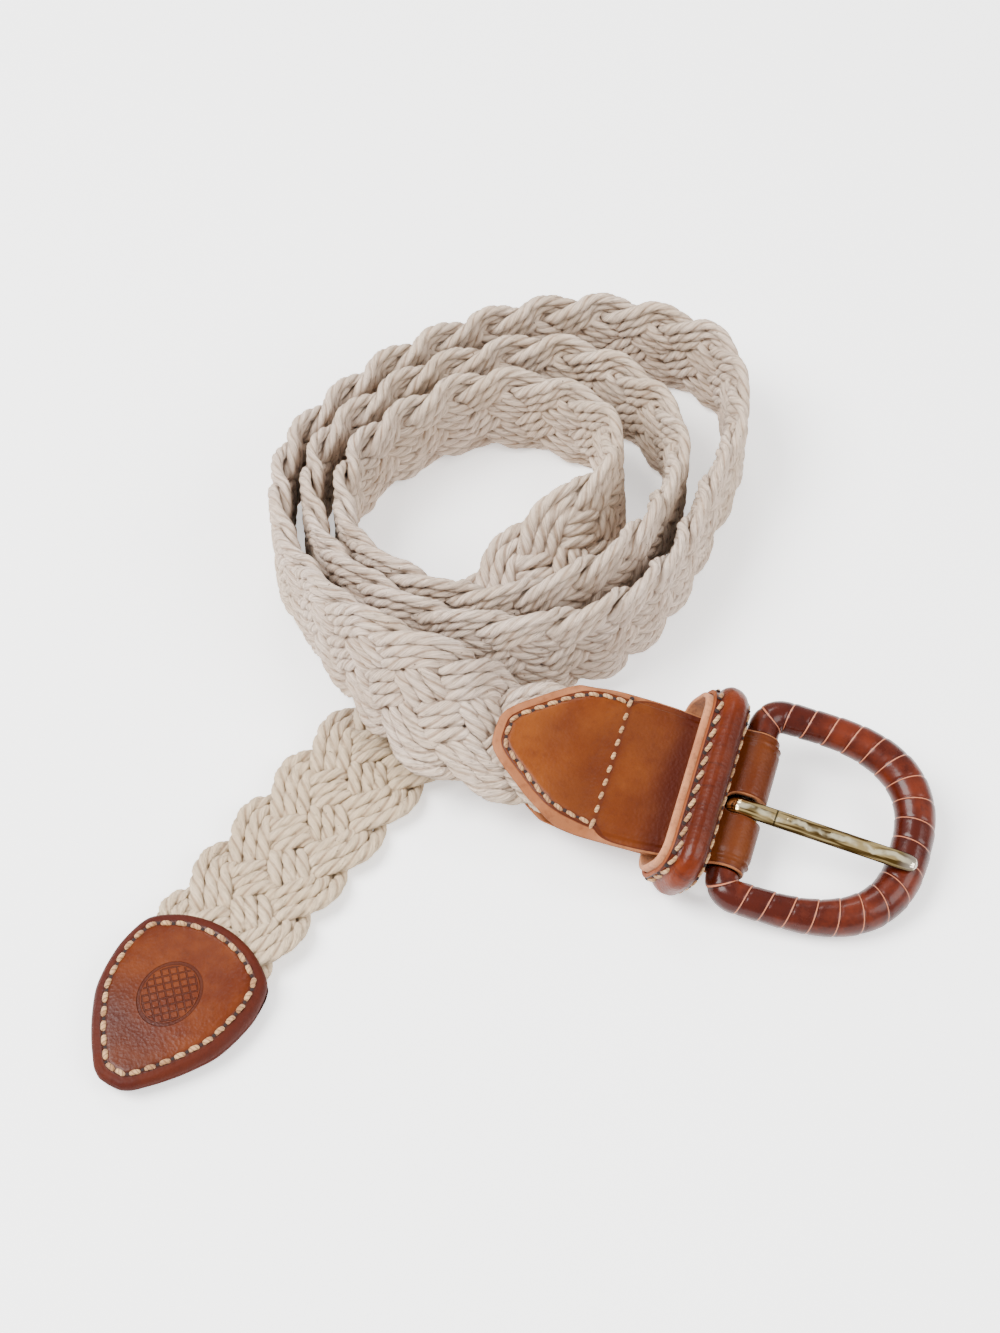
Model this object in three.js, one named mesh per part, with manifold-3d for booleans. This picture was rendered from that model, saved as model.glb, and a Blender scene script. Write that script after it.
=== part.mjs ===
// A plaited cotton belt with leather ends, lying on a table as it was put down: the tip end runs
// flat under a standing coil of two and a half turns, and the buckle end crosses over it.
// Millimetres, +Z up. The origin is under the middle of the whole belt, on the table.
import * as THREE from 'three';
import { mergeVertices } from 'three/addons/utils/BufferGeometryUtils.js';
import Module from 'manifold-3d';

const wasm = await Module();
wasm.setup();

// Plaited strap
const strapWidth = 35;
const strapThickness = 6.2;
const plaitPitch = 16.2; // one scallop of the edge
const scallopDepth = 1.3;
const stationsPerPitch = 4;
const sectionSides = 10;
const stepsPerRow = 40; // of the route, for measuring along it

// How the strap lies: everything is measured from the upright middle of the coil
const coilRadius = 40; // middle of the innermost turn
const turnGap = 2.3; // air between one turn and the next
const tailReach = 138.2; // to where the strap comes out of the leather tip
const tailHeading = 59; // degrees, the way the strap points there
const bandReach = 70.9; // to where the strap goes into the buckle leather
const bandHeading = -16.6;
const bandPitch = -2; // degrees, the buckle end runs slightly downhill
const crossingGap = 0.5; // air where the strap lies across itself

// Leather
const leather = 1.7;
const seat = 0.32; // gap between two pieces that touch
const tipLength = 47.4;
const tipWidth = 39;
const tipBury = 17; // strap inside the tip, from the middle of its curved edge
const tipFill = 2.5; // half the thickness of the plait where the tip is sewn over it
const chapeLeather = 2.1;
const chapeReach = 63.8; // from the bar to the point of the shield
const chapeWidth = 40.2;
const chapeBury = 25.6; // plait inside the shield, from its point
const foldSlack = 1.6; // play of the folded leather round the bar
const slotWidth = 5.8;
const slotReach = 4.6; // from the bar back towards the keeper
const slotOffset = -1.9;

// Keeper, a band of leather round the folded strap with a padded cover
const keeperDistance = 12.6; // behind the bar
const keeperTilt = 21; // degrees, leaning towards the buckle
const keeperBand = 10.2;
const keeperLeather = 1.3;
const keeperInnerWidth = 45;
const keeperAbove = 8.45;
const keeperBelow = 5.55;
const keeperCorner = 4.6;
const coverEdge = 1.1;
const coverPadding = 2.6;

// Buckle: a wrapped D-shaped frame, its plain bar, and the prong
const barRadius = 2.1;
const socketDepth = 2;
const frameReach = 42.6; // from the bar to the middle of the far side
const frameHalfWidth = 24.9; // to the middle of each arm
const frameShoulder = 11; // from the bar to where the bow starts
const frameSquareness = 2.6;
const frameCorner = 4.6;
const frameOffset = 1.2; // the frame sits a little towards the upper edge
const frameDroop = 2.7; // degrees that the frame hangs below the strap's plane
const armRadius = 4.1;
const bowRadius = 5.1;
const barClearance = 0.35;
const prongWidth = 4.6;
const prongThickness = 2.3;
const prongLength = 44.6; // from the bar
const prongSkew = -3.6; // degrees, seen from above

const rad = THREE.MathUtils.degToRad;
const lerp = THREE.MathUtils.lerp;
const vec = (x, y, z) => new THREE.Vector3(x, y, z);

const finish = (color, roughness, metalness = 0) => new THREE.MeshStandardMaterial({ color, roughness, metalness });
const cotton = finish(0xded0be, 0.9);
const tan = finish(0xa85a28, 0.5);
const brown = finish(0x84381c, 0.45);
const rawEdge = finish(0xbe8258, 0.8);
const wrapLeather = finish(0x6e2814, 0.4);
const brass = finish(0xb59a64, 0.25, 1);
const steel = finish(0x9a938a, 0.35, 1);

// The route, row by row, from the edge of the leather tip to the point of the buckle leather. turn is
// the angle round the coil's middle in degrees. reach is a share of the named size in `of`, and layers
// counts the turns that lie inside. lift is the height of the lower edge over the table, in strap
// thicknesses, and lean is how far the strap has fallen over to its left, 90 when it lies flat. wide
// and thick are shares of the strap's width and thickness.
const layer = strapThickness + turnGap;
const overStrap = strapThickness + crossingGap;
const routeRows = [
  { turn: -118.9, of: tailReach, reach: 1, lift: 0.2, lean: 90, thick: 0.8 },
  { turn: -118.85, of: tailReach, reach: 0.965, lift: 0.19, lean: 90, thick: 0.9 },
  { turn: -118.7, of: tailReach, reach: 0.9, lift: 0.06, lean: 90 },
  { turn: -118.3, of: tailReach, reach: 0.82, lift: 0, lean: 90 },
  { turn: -117.4, of: tailReach, reach: 0.72, lift: 0, lean: 90 },
  { turn: -115.9, of: tailReach, reach: 0.61, lift: 0, lean: 90 },
  { turn: -111.5, of: tailReach, reach: 0.46, lift: 0, lean: 90 },
  { turn: -104, of: coilRadius, reach: 1.13, lift: 0, lean: 90 },
  { turn: -90, of: coilRadius, reach: 0.75, lift: 0, lean: 82 },
  { turn: -47, of: coilRadius, reach: 0.52, lift: 0, lean: 56 },
  { turn: -4, of: coilRadius, reach: 0.64, lift: 0, lean: 22, wide: 0.94 },
  { turn: 18, of: coilRadius, reach: 0.8, lift: 0, lean: 5, wide: 0.89 },
  { turn: 47, of: coilRadius, reach: 0.97, lift: 0, lean: 0, wide: 0.89 },
  { turn: 90, of: coilRadius, reach: 0.95, lift: 0, lean: 0, wide: 0.89 },
  { turn: 123, of: coilRadius, reach: 0.91, lift: 0, lean: 0, wide: 0.89 },
  { turn: 165, of: coilRadius, reach: 1.01, lift: 0, lean: 0, wide: 0.89 },
  { turn: 205, of: coilRadius, reach: 1.05, lift: 0.6, lean: 0, wide: 0.89 },
  { turn: 235, of: coilRadius, reach: 1.05, lift: 1.13, lean: 2, wide: 0.89 },
  { turn: 265, of: coilRadius, reach: 1.05, lift: 1.15, lean: 4, wide: 0.89 },
  { turn: 295, of: coilRadius, reach: 1.01, lift: 1.15, lean: 6, wide: 0.89 },
  { turn: 325, of: coilRadius, reach: 1.02, lift: 1.02, lean: 6, wide: 0.89 },
  { turn: 350, of: coilRadius, reach: 1.03, layers: 0.1, lift: 0.3, lean: 3, wide: 0.89 },
  { turn: 378, of: coilRadius, reach: 1.08, layers: 0.8, lift: 0, lean: 0, wide: 0.89 },
  { turn: 402, of: coilRadius, reach: 1.13, layers: 1, lift: 0, lean: 0, wide: 0.89 },
  { turn: 432, of: coilRadius, reach: 1.11, layers: 1, lift: 0, lean: 0, wide: 0.89 },
  { turn: 470, of: coilRadius, reach: 0.94, layers: 1, lift: 0, lean: 0, wide: 0.89 },
  { turn: 495, of: coilRadius, reach: 0.93, layers: 1, lift: 0, lean: 0, wide: 0.89 },
  { turn: 525, of: coilRadius, reach: 1.04, layers: 1, lift: 0, lean: 0, wide: 0.89 },
  { turn: 565, of: coilRadius, reach: 1.02, layers: 1, lift: 0.6, lean: 0, wide: 0.89 },
  { turn: 598, of: coilRadius, reach: 1.02, layers: 1, lift: 1.13, lean: 2, wide: 0.89 },
  { turn: 630, of: coilRadius, reach: 1.04, layers: 1, lift: 1.08, lean: 4, wide: 0.89 },
  { turn: 660, of: coilRadius, reach: 1.05, layers: 1, lift: 0.7, lean: 3, wide: 0.89 },
  { turn: 693, of: coilRadius, reach: 1.03, layers: 1, lift: 0.1, lean: 0, wide: 0.89 },
  { turn: 722, of: coilRadius, reach: 1.06, layers: 1.5, lift: 0, lean: 0, wide: 0.89 },
  { turn: 742, of: coilRadius, reach: 1.3, layers: 2, lift: 0, lean: 0, wide: 0.89 },
  { turn: 761, of: coilRadius, reach: 1.56, layers: 2, lift: 0, lean: 0, wide: 0.89 },
  { turn: 785, of: coilRadius, reach: 1.37, layers: 2, lift: 0, lean: 0, wide: 0.89 },
  { turn: 809, of: coilRadius, reach: 1.12, layers: 2, lift: 0, lean: 0, wide: 0.89 },
  { turn: 838, of: coilRadius, reach: 0.94, layers: 2, lift: 0, lean: 0, wide: 0.89 },
  { turn: 862, of: coilRadius, reach: 0.92, layers: 2, lift: 0, lean: 0, wide: 0.89 },
  { turn: 888, of: coilRadius, reach: 1.02, layers: 2, lift: 0, lean: 0, wide: 0.89 },
  { turn: 918, of: coilRadius, reach: 1.03, layers: 2, lift: 0.5, lean: 0, wide: 0.89 },
  { turn: 935, of: bandReach, reach: 0.825, lift: 0.9, lean: 1, wide: 0.91 },
  { turn: 945, of: bandReach, reach: 0.855, lift: 1.1, lean: 4, wide: 0.94 },
  { turn: 954, of: bandReach, reach: 0.88, lift: 1.16, lean: 9, wide: 0.97 },
  { turn: 962, of: bandReach, reach: 0.915, lift: 1.26, lean: 18 },
  { turn: 970, of: bandReach, reach: 0.945, lift: 1.33, lean: 31 },
  { turn: 978, of: bandReach, reach: 0.972, lift: 1.38, lean: 50 },
  { turn: 985, of: bandReach, reach: 0.988, lift: 1.39, lean: 70 },
  { turn: 989, of: bandReach, reach: 1, lift: 1.37, lean: 79 },
];

// Half-widths of the leather tip, from its point to the middle of the curved edge where the strap
// comes out. along is a share of tipLength. half is the cut edge, side is the width that the two
// sides would have without the curved edge, and fill is how far the plies stand apart.
const tipRows = [
  { along: 0, half: 0.13, side: 0.13, fill: 0 },
  { along: 0.03, half: 0.26, side: 0.26, fill: 0.06 },
  { along: 0.09, half: 0.4, side: 0.4, fill: 0.15 },
  { along: 0.17, half: 0.56, side: 0.56, fill: 0.3 },
  { along: 0.28, half: 0.74, side: 0.74, fill: 0.52 },
  { along: 0.42, half: 0.91, side: 0.91, fill: 0.8 },
  { along: 0.56, half: 0.98, side: 0.98, fill: 0.96 },
  { along: 0.66, half: 1, side: 1, fill: 1 },
  { along: 0.77, half: 0.97, side: 0.98, fill: 1 },
  { along: 0.85, half: 0.9, side: 0.96, fill: 1 },
  { along: 0.92, half: 0.68, side: 0.95, fill: 1 },
  { along: 0.97, half: 0.42, side: 0.95, fill: 1 },
  { along: 1, half: 0.14, side: 0.95, fill: 1 },
];
const tipAcross = [-1, -0.86, -0.55, 0, 0.55, 0.86, 1];

// The folded leather of the buckle end, from the shield's point to the bar. along is a share of
// chapeReach, half a share of half its width, and open is how far each ply stands off the middle,
// a share of half the strap's thickness.
const chapeRows = [
  { along: 1, half: 0.13, open: 1.14 },
  { along: 0.986, half: 0.25, open: 1.14 },
  { along: 0.955, half: 0.37, open: 1.12 },
  { along: 0.87, half: 0.59, open: 1.06 },
  { along: 0.785, half: 0.79, open: 1 },
  { along: 0.71, half: 0.92, open: 0.97 },
  { along: 0.63, half: 0.98, open: 0.84 },
  { along: 0.55, half: 1, open: 0.5 },
  { along: 0.46, half: 1, open: 0.2 },
  { along: 0.36, half: 0.99, open: 0.1 },
  { along: 0.22, half: 0.95, open: 0.1 },
];
const foldHalf = 0.915;

// A closed solid through rings with equally many points. The end caps are ladders between the two
// halves of a ring, and a looped solid has none.
function loft(rings, looped = false) {
  const sides = rings[0].length;
  const positions = rings.flat().flatMap((p) => [p.x, p.y, p.z]);
  const faces = [];
  const spans = looped ? rings.length : rings.length - 1;
  for (let i = 0; i < spans; i += 1) {
    const next = (i + 1) % rings.length;
    for (let j = 0; j < sides; j += 1) {
      const k = (j + 1) % sides;
      faces.push([i * sides + j, i * sides + k, next * sides + k]);
      faces.push([i * sides + j, next * sides + k, next * sides + j]);
    }
  }
  if (!looped) {
    const last = (rings.length - 1) * sides;
    for (let j = 0; j < sides / 2 - 1; j += 1) {
      const corners = [j, j + 1, sides - 2 - j, sides - 1 - j];
      for (const [a, b, c] of [[0, 2, 1], [0, 3, 2]]) {
        if (corners[a] === corners[b] || corners[b] === corners[c] || corners[a] === corners[c]) continue;
        faces.push([corners[a], corners[b], corners[c]]);
        faces.push([last + corners[c], last + corners[b], last + corners[a]]);
      }
    }
  }
  return facingOut(positions, faces);
}

// Turns every face over if the solid came out inside out.
function facingOut(positions, faces) {
  const point = (i) => vec(...positions.slice(3 * i, 3 * i + 3));
  const volume = faces.reduce((sum, [a, b, c]) => sum + point(a).dot(point(b).cross(point(c))), 0);
  const index = faces.flatMap(([a, b, c]) => (volume < 0 ? [a, c, b] : [a, b, c]));
  const geometry = new THREE.BufferGeometry();
  geometry.setAttribute('position', new THREE.Float32BufferAttribute(positions, 3));
  geometry.setIndex(index);
  return geometry;
}

function toManifold(geometry) {
  const bare = geometry.clone();
  bare.deleteAttribute('normal');
  bare.deleteAttribute('uv');
  const merged = mergeVertices(bare, 1e-4);
  return new wasm.Manifold(new wasm.Mesh({
    numProp: 3,
    vertProperties: new Float32Array(merged.attributes.position.array),
    triVerts: new Uint32Array(merged.index.array),
  }));
}

function cut(geometry, tool) {
  const mesh = toManifold(geometry).subtract(toManifold(tool)).getMesh();
  const result = new THREE.BufferGeometry();
  result.setAttribute('position', new THREE.BufferAttribute(mesh.vertProperties.slice(), 3));
  result.setIndex(new THREE.BufferAttribute(mesh.triVerts.slice(), 1));
  return result;
}

function piece(name, geometry, material) {
  const mesh = new THREE.Mesh(geometry.index ? geometry.toNonIndexed() : geometry, material);
  mesh.geometry.computeVertexNormals();
  mesh.name = name;
  return mesh;
}

// A rounded flat section: x across, y through.
function flatSection(halfWidth, halfThickness, sides) {
  const squash = 0.6;
  return Array.from({ length: sides }, (_, i) => {
    const a = (2 * Math.PI * (i + 0.5)) / sides;
    const c = Math.cos(a);
    const s = Math.sin(a);
    return [
      halfWidth * Math.sign(c) * Math.abs(c) ** squash * edgeFill(sides),
      halfThickness * Math.sign(s) * Math.abs(s) ** squash,
    ];
  });
}

// The outermost points of a section with an even number of sides lie this much inside its width.
function edgeFill(sides) {
  return 1 / Math.cos(Math.PI / sides) ** 0.6;
}

// The strap inside the leather of either end lies straight and is pressed thinner. along is a share
// of the buried length, counted from where it goes in.
const tipEnds = { buried: tipBury, rows: [
  { along: 0.35, wide: 0.96, thick: 0.78 }, { along: 0.65, wide: 0.88, thick: 0.7 },
  { along: 1, wide: 0.78, thick: 0.5 },
] };
const chapeEnds = { buried: chapeBury, rows: [
  { along: 0.2, wide: 1, thick: 1 }, { along: 0.5, wide: 1, thick: 0.95 },
  { along: 0.8, wide: 0.96, thick: 0.78 }, { along: 1, wide: 0.92, thick: 0.62 },
] };

function straightEnd(from, heading, pitch, ends) {
  return ends.rows.map(({ along, wide, thick }) => {
    const run = along * ends.buried;
    return {
      ...from, wide, thick, x: from.x + run * Math.cos(heading), y: from.y + run * Math.sin(heading),
      lower: from.lower + run * Math.tan(pitch),
    };
  });
}

// A smooth line through values at rising places that never runs past the values themselves.
function steady(places, values) {
  const last = values.length - 1;
  const rise = (i) => (values[i + 1] - values[i]) / (places[i + 1] - places[i]);
  const slopes = values.map((_, i) => {
    if (i === 0) return rise(0);
    if (i === last) return rise(last - 1);
    const product = rise(i - 1) * rise(i);
    return product > 0 ? (2 * product) / (rise(i - 1) + rise(i)) : 0;
  });
  return (place) => {
    const found = places.findIndex((p) => p > place);
    const i = found < 0 ? last - 1 : Math.max(found - 1, 0);
    const span = places[i + 1] - places[i];
    const k = (place - places[i]) / span;
    const bend = 3 * k * k - 2 * k * k * k;
    return lerp(values[i], values[i + 1], bend)
      + span * (slopes[i] * k * (1 - k) ** 2 - slopes[i + 1] * k * k * (1 - k));
  };
}

// Where the strap lies: its middle and its own axes at any share of its length.
function strapRoute() {
  const filled = routeRows.map((row) => ({ layers: 0, wide: 1, thick: 1, ...row }));
  for (const row of filled) {
    const r = row.of * row.reach + row.layers * layer;
    row.x = r * Math.cos(rad(row.turn));
    row.y = r * Math.sin(rad(row.turn));
    row.lower = row.lift * overStrap;
  }
  const tip = straightEnd(filled[0], rad(tailHeading) + Math.PI, 0, tipEnds);
  const band = straightEnd(filled[filled.length - 1], rad(bandHeading), rad(bandPitch), chapeEnds);
  const rows = [...tip.reverse(), ...filled, ...band];
  const plan = new THREE.CatmullRomCurve3(rows.map((row) => vec(row.x, row.y, 0)), false, 'centripetal');
  plan.arcLengthDivisions = stepsPerRow * (rows.length - 1);
  const lengths = plan.getLengths();
  const length = lengths[lengths.length - 1];
  const places = rows.map((_, i) => lengths[i * stepsPerRow]);
  const steadily = (key) => steady(places, rows.map((row) => row[key]));
  const [lower, leaning, width, thickness] = ['lower', 'lean', 'wide', 'thick'].map(steadily);
  const middle = (u) => {
    const s = u * length;
    const lean = rad(leaning(s));
    const wide = width(s);
    const point = plan.getPointAt(u);
    point.z = lower(s) + (strapWidth / 2) * wide * Math.cos(lean) + (strapThickness / 2) * Math.sin(lean);
    return { point, lean, wide, thick: thickness(s) };
  };
  const at = (u) => {
    const step = 0.5 / length;
    const here = middle(u);
    const along = middle(Math.min(u + step, 1)).point.sub(middle(Math.max(u - step, 0)).point).normalize();
    const left = vec(-along.y, along.x, 0).normalize();
    const across = vec(0, 0, Math.cos(here.lean)).addScaledVector(left, Math.sin(here.lean));
    across.addScaledVector(along, -across.dot(along)).normalize();
    return { ...here, along, across, out: along.clone().cross(across) };
  };
  return { length, at };
}

// The plait as one solid, its two edges scalloped half a pitch apart.
function strapGeometry(route) {
  const count = Math.round((route.length * stationsPerPitch) / plaitPitch);
  const rings = [];
  for (let i = 0; i <= count; i += 1) {
    const u = i / count;
    const { point, across, out, wide, thick } = route.at(u);
    const wave = Math.cos((2 * Math.PI * i) / stationsPerPitch);
    const section = flatSection(strapWidth / 2, strapThickness / 2, sectionSides);
    rings.push(section.map(([x, y]) => {
      const scallop = (scallopDepth / 2) * (1 - Math.sign(x) * wave) * Math.abs(x / (strapWidth / 2)) ** 3;
      const reach = wide * (x - Math.sign(x) * scallop);
      return point.clone().addScaledVector(across, reach).addScaledVector(out, thick * y);
    }));
  }
  return loft(rings);
}

// One ply of the tip. side is 1 for the upper ply and -1 for the lower one.
function tipPly(side) {
  const half = tipWidth / 2;
  const rings = tipRows.map((row) => {
    const x = tipLength * (1 - row.along) * -1 + tipBury;
    const inner = tipAcross.map((share) => {
      const y = share * row.half * half;
      const rise = Math.sqrt(Math.max(0, 1 - Math.abs(y / (row.side * half)) ** 4));
      return vec(x, y, side * (seat / 2 + (tipFill + seat / 2) * row.fill * rise));
    });
    const outer = inner.map((p) => vec(p.x, p.y, p.z + side * leather)).reverse();
    return [...inner, ...outer];
  });
  return loft(rings);
}

// The line that the inside of the folded leather follows, in x and z with the bar at the middle:
// back ply, round the bar, front ply.
function chapeLine() {
  const radius = barRadius + foldSlack;
  const ply = chapeRows.map((row) => ({
    x: -row.along * chapeReach,
    z: row.open * (strapThickness / 2) + seat,
    half: row.half,
  }));
  const last = ply[ply.length - 1];
  const tangent = Math.PI / 2 + Math.asin((radius - last.z) / -last.x);
  const steps = 10;
  const back = ply.map((p) => ({ ...p, z: -p.z }));
  const fold = Array.from({ length: steps + 1 }, (_, i) => {
    const a = lerp(-tangent, tangent, i / steps);
    return { x: radius * Math.cos(a), z: radius * Math.sin(a), half: foldHalf };
  });
  return [...back, ...fold, ...ply.reverse()];
}

function chapeGeometry() {
  const line = chapeLine();
  const half = chapeWidth / 2;
  const rings = line.map((p, i) => {
    const before = line[Math.max(i - 1, 0)];
    const after = line[Math.min(i + 1, line.length - 1)];
    const along = vec(after.x - before.x, 0, after.z - before.z).normalize();
    const out = vec(along.z, 0, -along.x).multiplyScalar(chapeLeather);
    const w = p.half * half;
    const inner = vec(p.x, 0, p.z);
    const outer = inner.clone().add(out);
    return [
      vec(inner.x, -w, inner.z), vec(inner.x, w, inner.z),
      vec(outer.x, w, outer.z), vec(outer.x, -w, outer.z),
    ];
  });
  const r = slotWidth / 2;
  const end = barRadius + foldSlack + 2 * chapeLeather;
  const slot = new THREE.Shape();
  slot.moveTo(end, -r);
  slot.lineTo(end, r);
  slot.lineTo(r - slotReach, r);
  slot.absarc(r - slotReach, 0, r, Math.PI / 2, 1.5 * Math.PI, false);
  slot.lineTo(end, -r);
  const depth = 2 * end;
  const tool = new THREE.ExtrudeGeometry(slot, { depth, bevelEnabled: false, curveSegments: 6 });
  tool.translate(0, slotOffset, -depth / 2);
  return cut(loft(rings), tool);
}

// The keeper's loop as points with the outward direction at each, seen along the belt: y across, z up.
// It runs from the right end of the underside over the front to the left end of the underside.
function keeperLoop() {
  const side = keeperInnerWidth / 2 - keeperCorner;
  const high = keeperAbove - keeperCorner;
  const low = keeperCorner - keeperBelow;
  const cornerSteps = 4;
  const corner = (y, z, start) => Array.from({ length: cornerSteps + 1 }, (_, i) => {
    const a = rad(start + (90 * i) / cornerSteps);
    return {
      y: y + keeperCorner * Math.cos(a), z: z + keeperCorner * Math.sin(a), outY: Math.cos(a), outZ: Math.sin(a),
    };
  });
  const crown = { y: 0, z: keeperAbove, outY: 0, outZ: 1 };
  return [
    ...corner(side, low, -90), ...corner(side, high, 0), crown,
    ...corner(-side, high, 90), ...corner(-side, low, 180),
  ];
}

function keeperLining() {
  const half = keeperBand / 2;
  const rings = keeperLoop().map(({ y, z, outY, outZ }) => [[-half, 0], [half, 0], [half, 1], [-half, 1]]
    .map(([x, h]) => vec(x, y + h * keeperLeather * outY, z + h * keeperLeather * outZ)));
  return loft(rings, true);
}

// The padded cover lies over the front and both ends of the lining, and stops under its corners.
function keeperCover() {
  const half = keeperBand / 2;
  const base = keeperLeather + seat;
  const profile = [
    [-1, 0, 0], [1, 0, 0], [1, 1, 0], [0.55, 1, 0.75], [0.05, 1, 1], [-0.4, 1, 0.6], [-0.55, 1, 0], [-1, 1, 0],
  ];
  const rings = keeperLoop().map(({ y, z, outY, outZ }) => {
    const padding = coverPadding * THREE.MathUtils.smoothstep(outZ, -1, 0.2);
    return profile.map(([x, sheet, pad]) => {
      const h = base + coverEdge * sheet + padding * pad;
      return vec(x * half, y + h * outY, z + h * outZ);
    });
  });
  return loft(rings);
}

// Middle line of the wrapped frame from one end of the bar round the bow to the other, x and y.
function frameLine() {
  const corner = Array.from({ length: 5 }, (_, i) => {
    const a = Math.PI - (i * Math.PI) / 8;
    return [
      frameCorner + frameCorner * Math.cos(a),
      frameHalfWidth - frameCorner + frameCorner * Math.sin(a),
    ];
  });
  const steps = 22;
  const power = 2 / frameSquareness;
  const bow = Array.from({ length: steps + 1 }, (_, i) => {
    const a = Math.PI / 2 - (i * Math.PI) / steps;
    return [
      frameShoulder + (frameReach - frameShoulder) * Math.abs(Math.cos(a)) ** power,
      frameHalfWidth * Math.sign(Math.sin(a)) * Math.abs(Math.sin(a)) ** power,
    ];
  });
  return [...corner, ...bow, ...corner.map(([x, y]) => [x, -y]).reverse()];
}

function frameGeometry() {
  const line = frameLine();
  const sides = 12;
  const rings = line.map(([x, y], i) => {
    const before = line[Math.max(i - 1, 0)];
    const after = line[Math.min(i + 1, line.length - 1)];
    const along = vec(after[0] - before[0], after[1] - before[1], 0).normalize();
    if (i === 0 || i === line.length - 1) along.set(0, 1, 0);
    const outward = vec(-along.y, along.x, 0);
    const radius = lerp(armRadius, bowRadius, THREE.MathUtils.smoothstep(x, frameShoulder, frameReach));
    return Array.from({ length: sides }, (_, k) => {
      const a = (2 * Math.PI * k) / sides;
      return vec(x, y, 0).addScaledVector(outward, radius * Math.cos(a)).add(vec(0, 0, radius * Math.sin(a)));
    });
  });
  const socket = new THREE.CylinderGeometry(barRadius + seat, barRadius + seat, barLength() + 2 * seat, 20);
  return cut(loft(rings), socket);
}

function barLength() {
  return 2 * (frameHalfWidth - frameCorner + socketDepth);
}

// The prong is a flat bar rolled round the frame's bar, with its end tucked under its own root.
function prongGeometry() {
  const curl = barRadius + barClearance + prongThickness / 2;
  const start = 15;
  const curlSteps = 12;
  const sections = [];
  for (let i = 0; i <= curlSteps; i += 1) {
    const a = rad(lerp(start, -270, i / curlSteps));
    sections.push({ x: curl * Math.cos(a), z: curl * Math.sin(a), tilt: a, wide: 1, thick: 1 });
  }
  const rest = bowRadius + seat + prongThickness / 2;
  const slope = Math.atan2(rest - curl, frameReach);
  const shank = [
    { along: 0.25, wide: 1, thick: 1 }, { along: 0.6, wide: 1, thick: 1 }, { along: 0.9, wide: 0.98, thick: 1 },
    { along: 0.95, wide: 0.9, thick: 0.9 }, { along: 0.985, wide: 0.66, thick: 0.7 },
    { along: 1, wide: 0.32, thick: 0.4 },
  ];
  for (const { along, wide, thick } of shank) {
    const x = along * prongLength;
    const lower = (1 - thick) * prongThickness * 0.35;
    sections.push({ x, z: curl + x * Math.tan(slope) - lower, tilt: Math.PI / 2 + slope, wide, thick });
  }
  const rings = sections.map(({ x, z, tilt, wide, thick }) => (
    flatSection((wide * prongWidth) / 2, (thick * prongThickness) / 2, sectionSides)
      .map(([across, through]) => vec(x + through * Math.cos(tilt), across, z + through * Math.sin(tilt)))
  ));
  return loft(rings);
}

// Puts a group at a place on the strap with x along it, y across it and z out of its face.
function seatOn(group, { point, along, across, out }) {
  group.position.copy(point);
  group.quaternion.setFromRotationMatrix(new THREE.Matrix4().makeBasis(along, across, out));
  return group;
}

function tipGroup(route) {
  const group = seatOn(new THREE.Group(), route.at(0));
  group.add(piece('tip_front', tipPly(1), tan), piece('tip_back', tipPly(-1), tan));
  return group;
}

function keeperGroup() {
  const group = new THREE.Group();
  group.position.x = -keeperDistance;
  group.rotation.y = rad(keeperTilt);
  group.add(piece('keeper_lining', keeperLining(), rawEdge), piece('keeper_cover', keeperCover(), brown));
  return group;
}

function buckleGroup() {
  const frame = new THREE.Group();
  frame.rotation.y = rad(frameDroop);
  const bar = new THREE.CylinderGeometry(barRadius, barRadius, barLength(), 16);
  const ring = new THREE.Group();
  ring.position.y = frameOffset;
  ring.add(piece('wrapped_frame', frameGeometry(), wrapLeather), piece('heel_bar', bar, steel));
  const prong = new THREE.Group();
  prong.position.y = slotOffset;
  prong.rotation.z = rad(prongSkew);
  prong.add(piece('prong', prongGeometry(), brass));
  frame.add(ring, prong);
  return frame;
}

function buckleEnd(route) {
  const group = seatOn(new THREE.Group(), route.at(1));
  const bar = new THREE.Group();
  bar.position.x = chapeReach - chapeBury;
  bar.add(piece('chape', chapeGeometry(), tan), keeperGroup(), buckleGroup());
  group.add(bar);
  return group;
}

function belt() {
  const route = strapRoute();
  const group = new THREE.Group();
  group.add(piece('braid_strap', strapGeometry(route), cotton), tipGroup(route), buckleEnd(route));
  group.updateMatrixWorld(true);
  const box = new THREE.Box3().setFromObject(group, true);
  const centre = box.getCenter(vec(0, 0, 0));
  group.position.set(-centre.x, -centre.y, -box.min.z);
  return group;
}

export default belt();
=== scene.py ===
# %% [markdown]
# # A plaited cotton belt with leather ends
# The belt lies coiled on its edge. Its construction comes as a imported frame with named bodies, and
# this notebook dresses it: the plait is made cord by cord, the leather gets its cut edges and
# stitches, and the buckle its winding and its polish.

# %% Frame
import math

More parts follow.
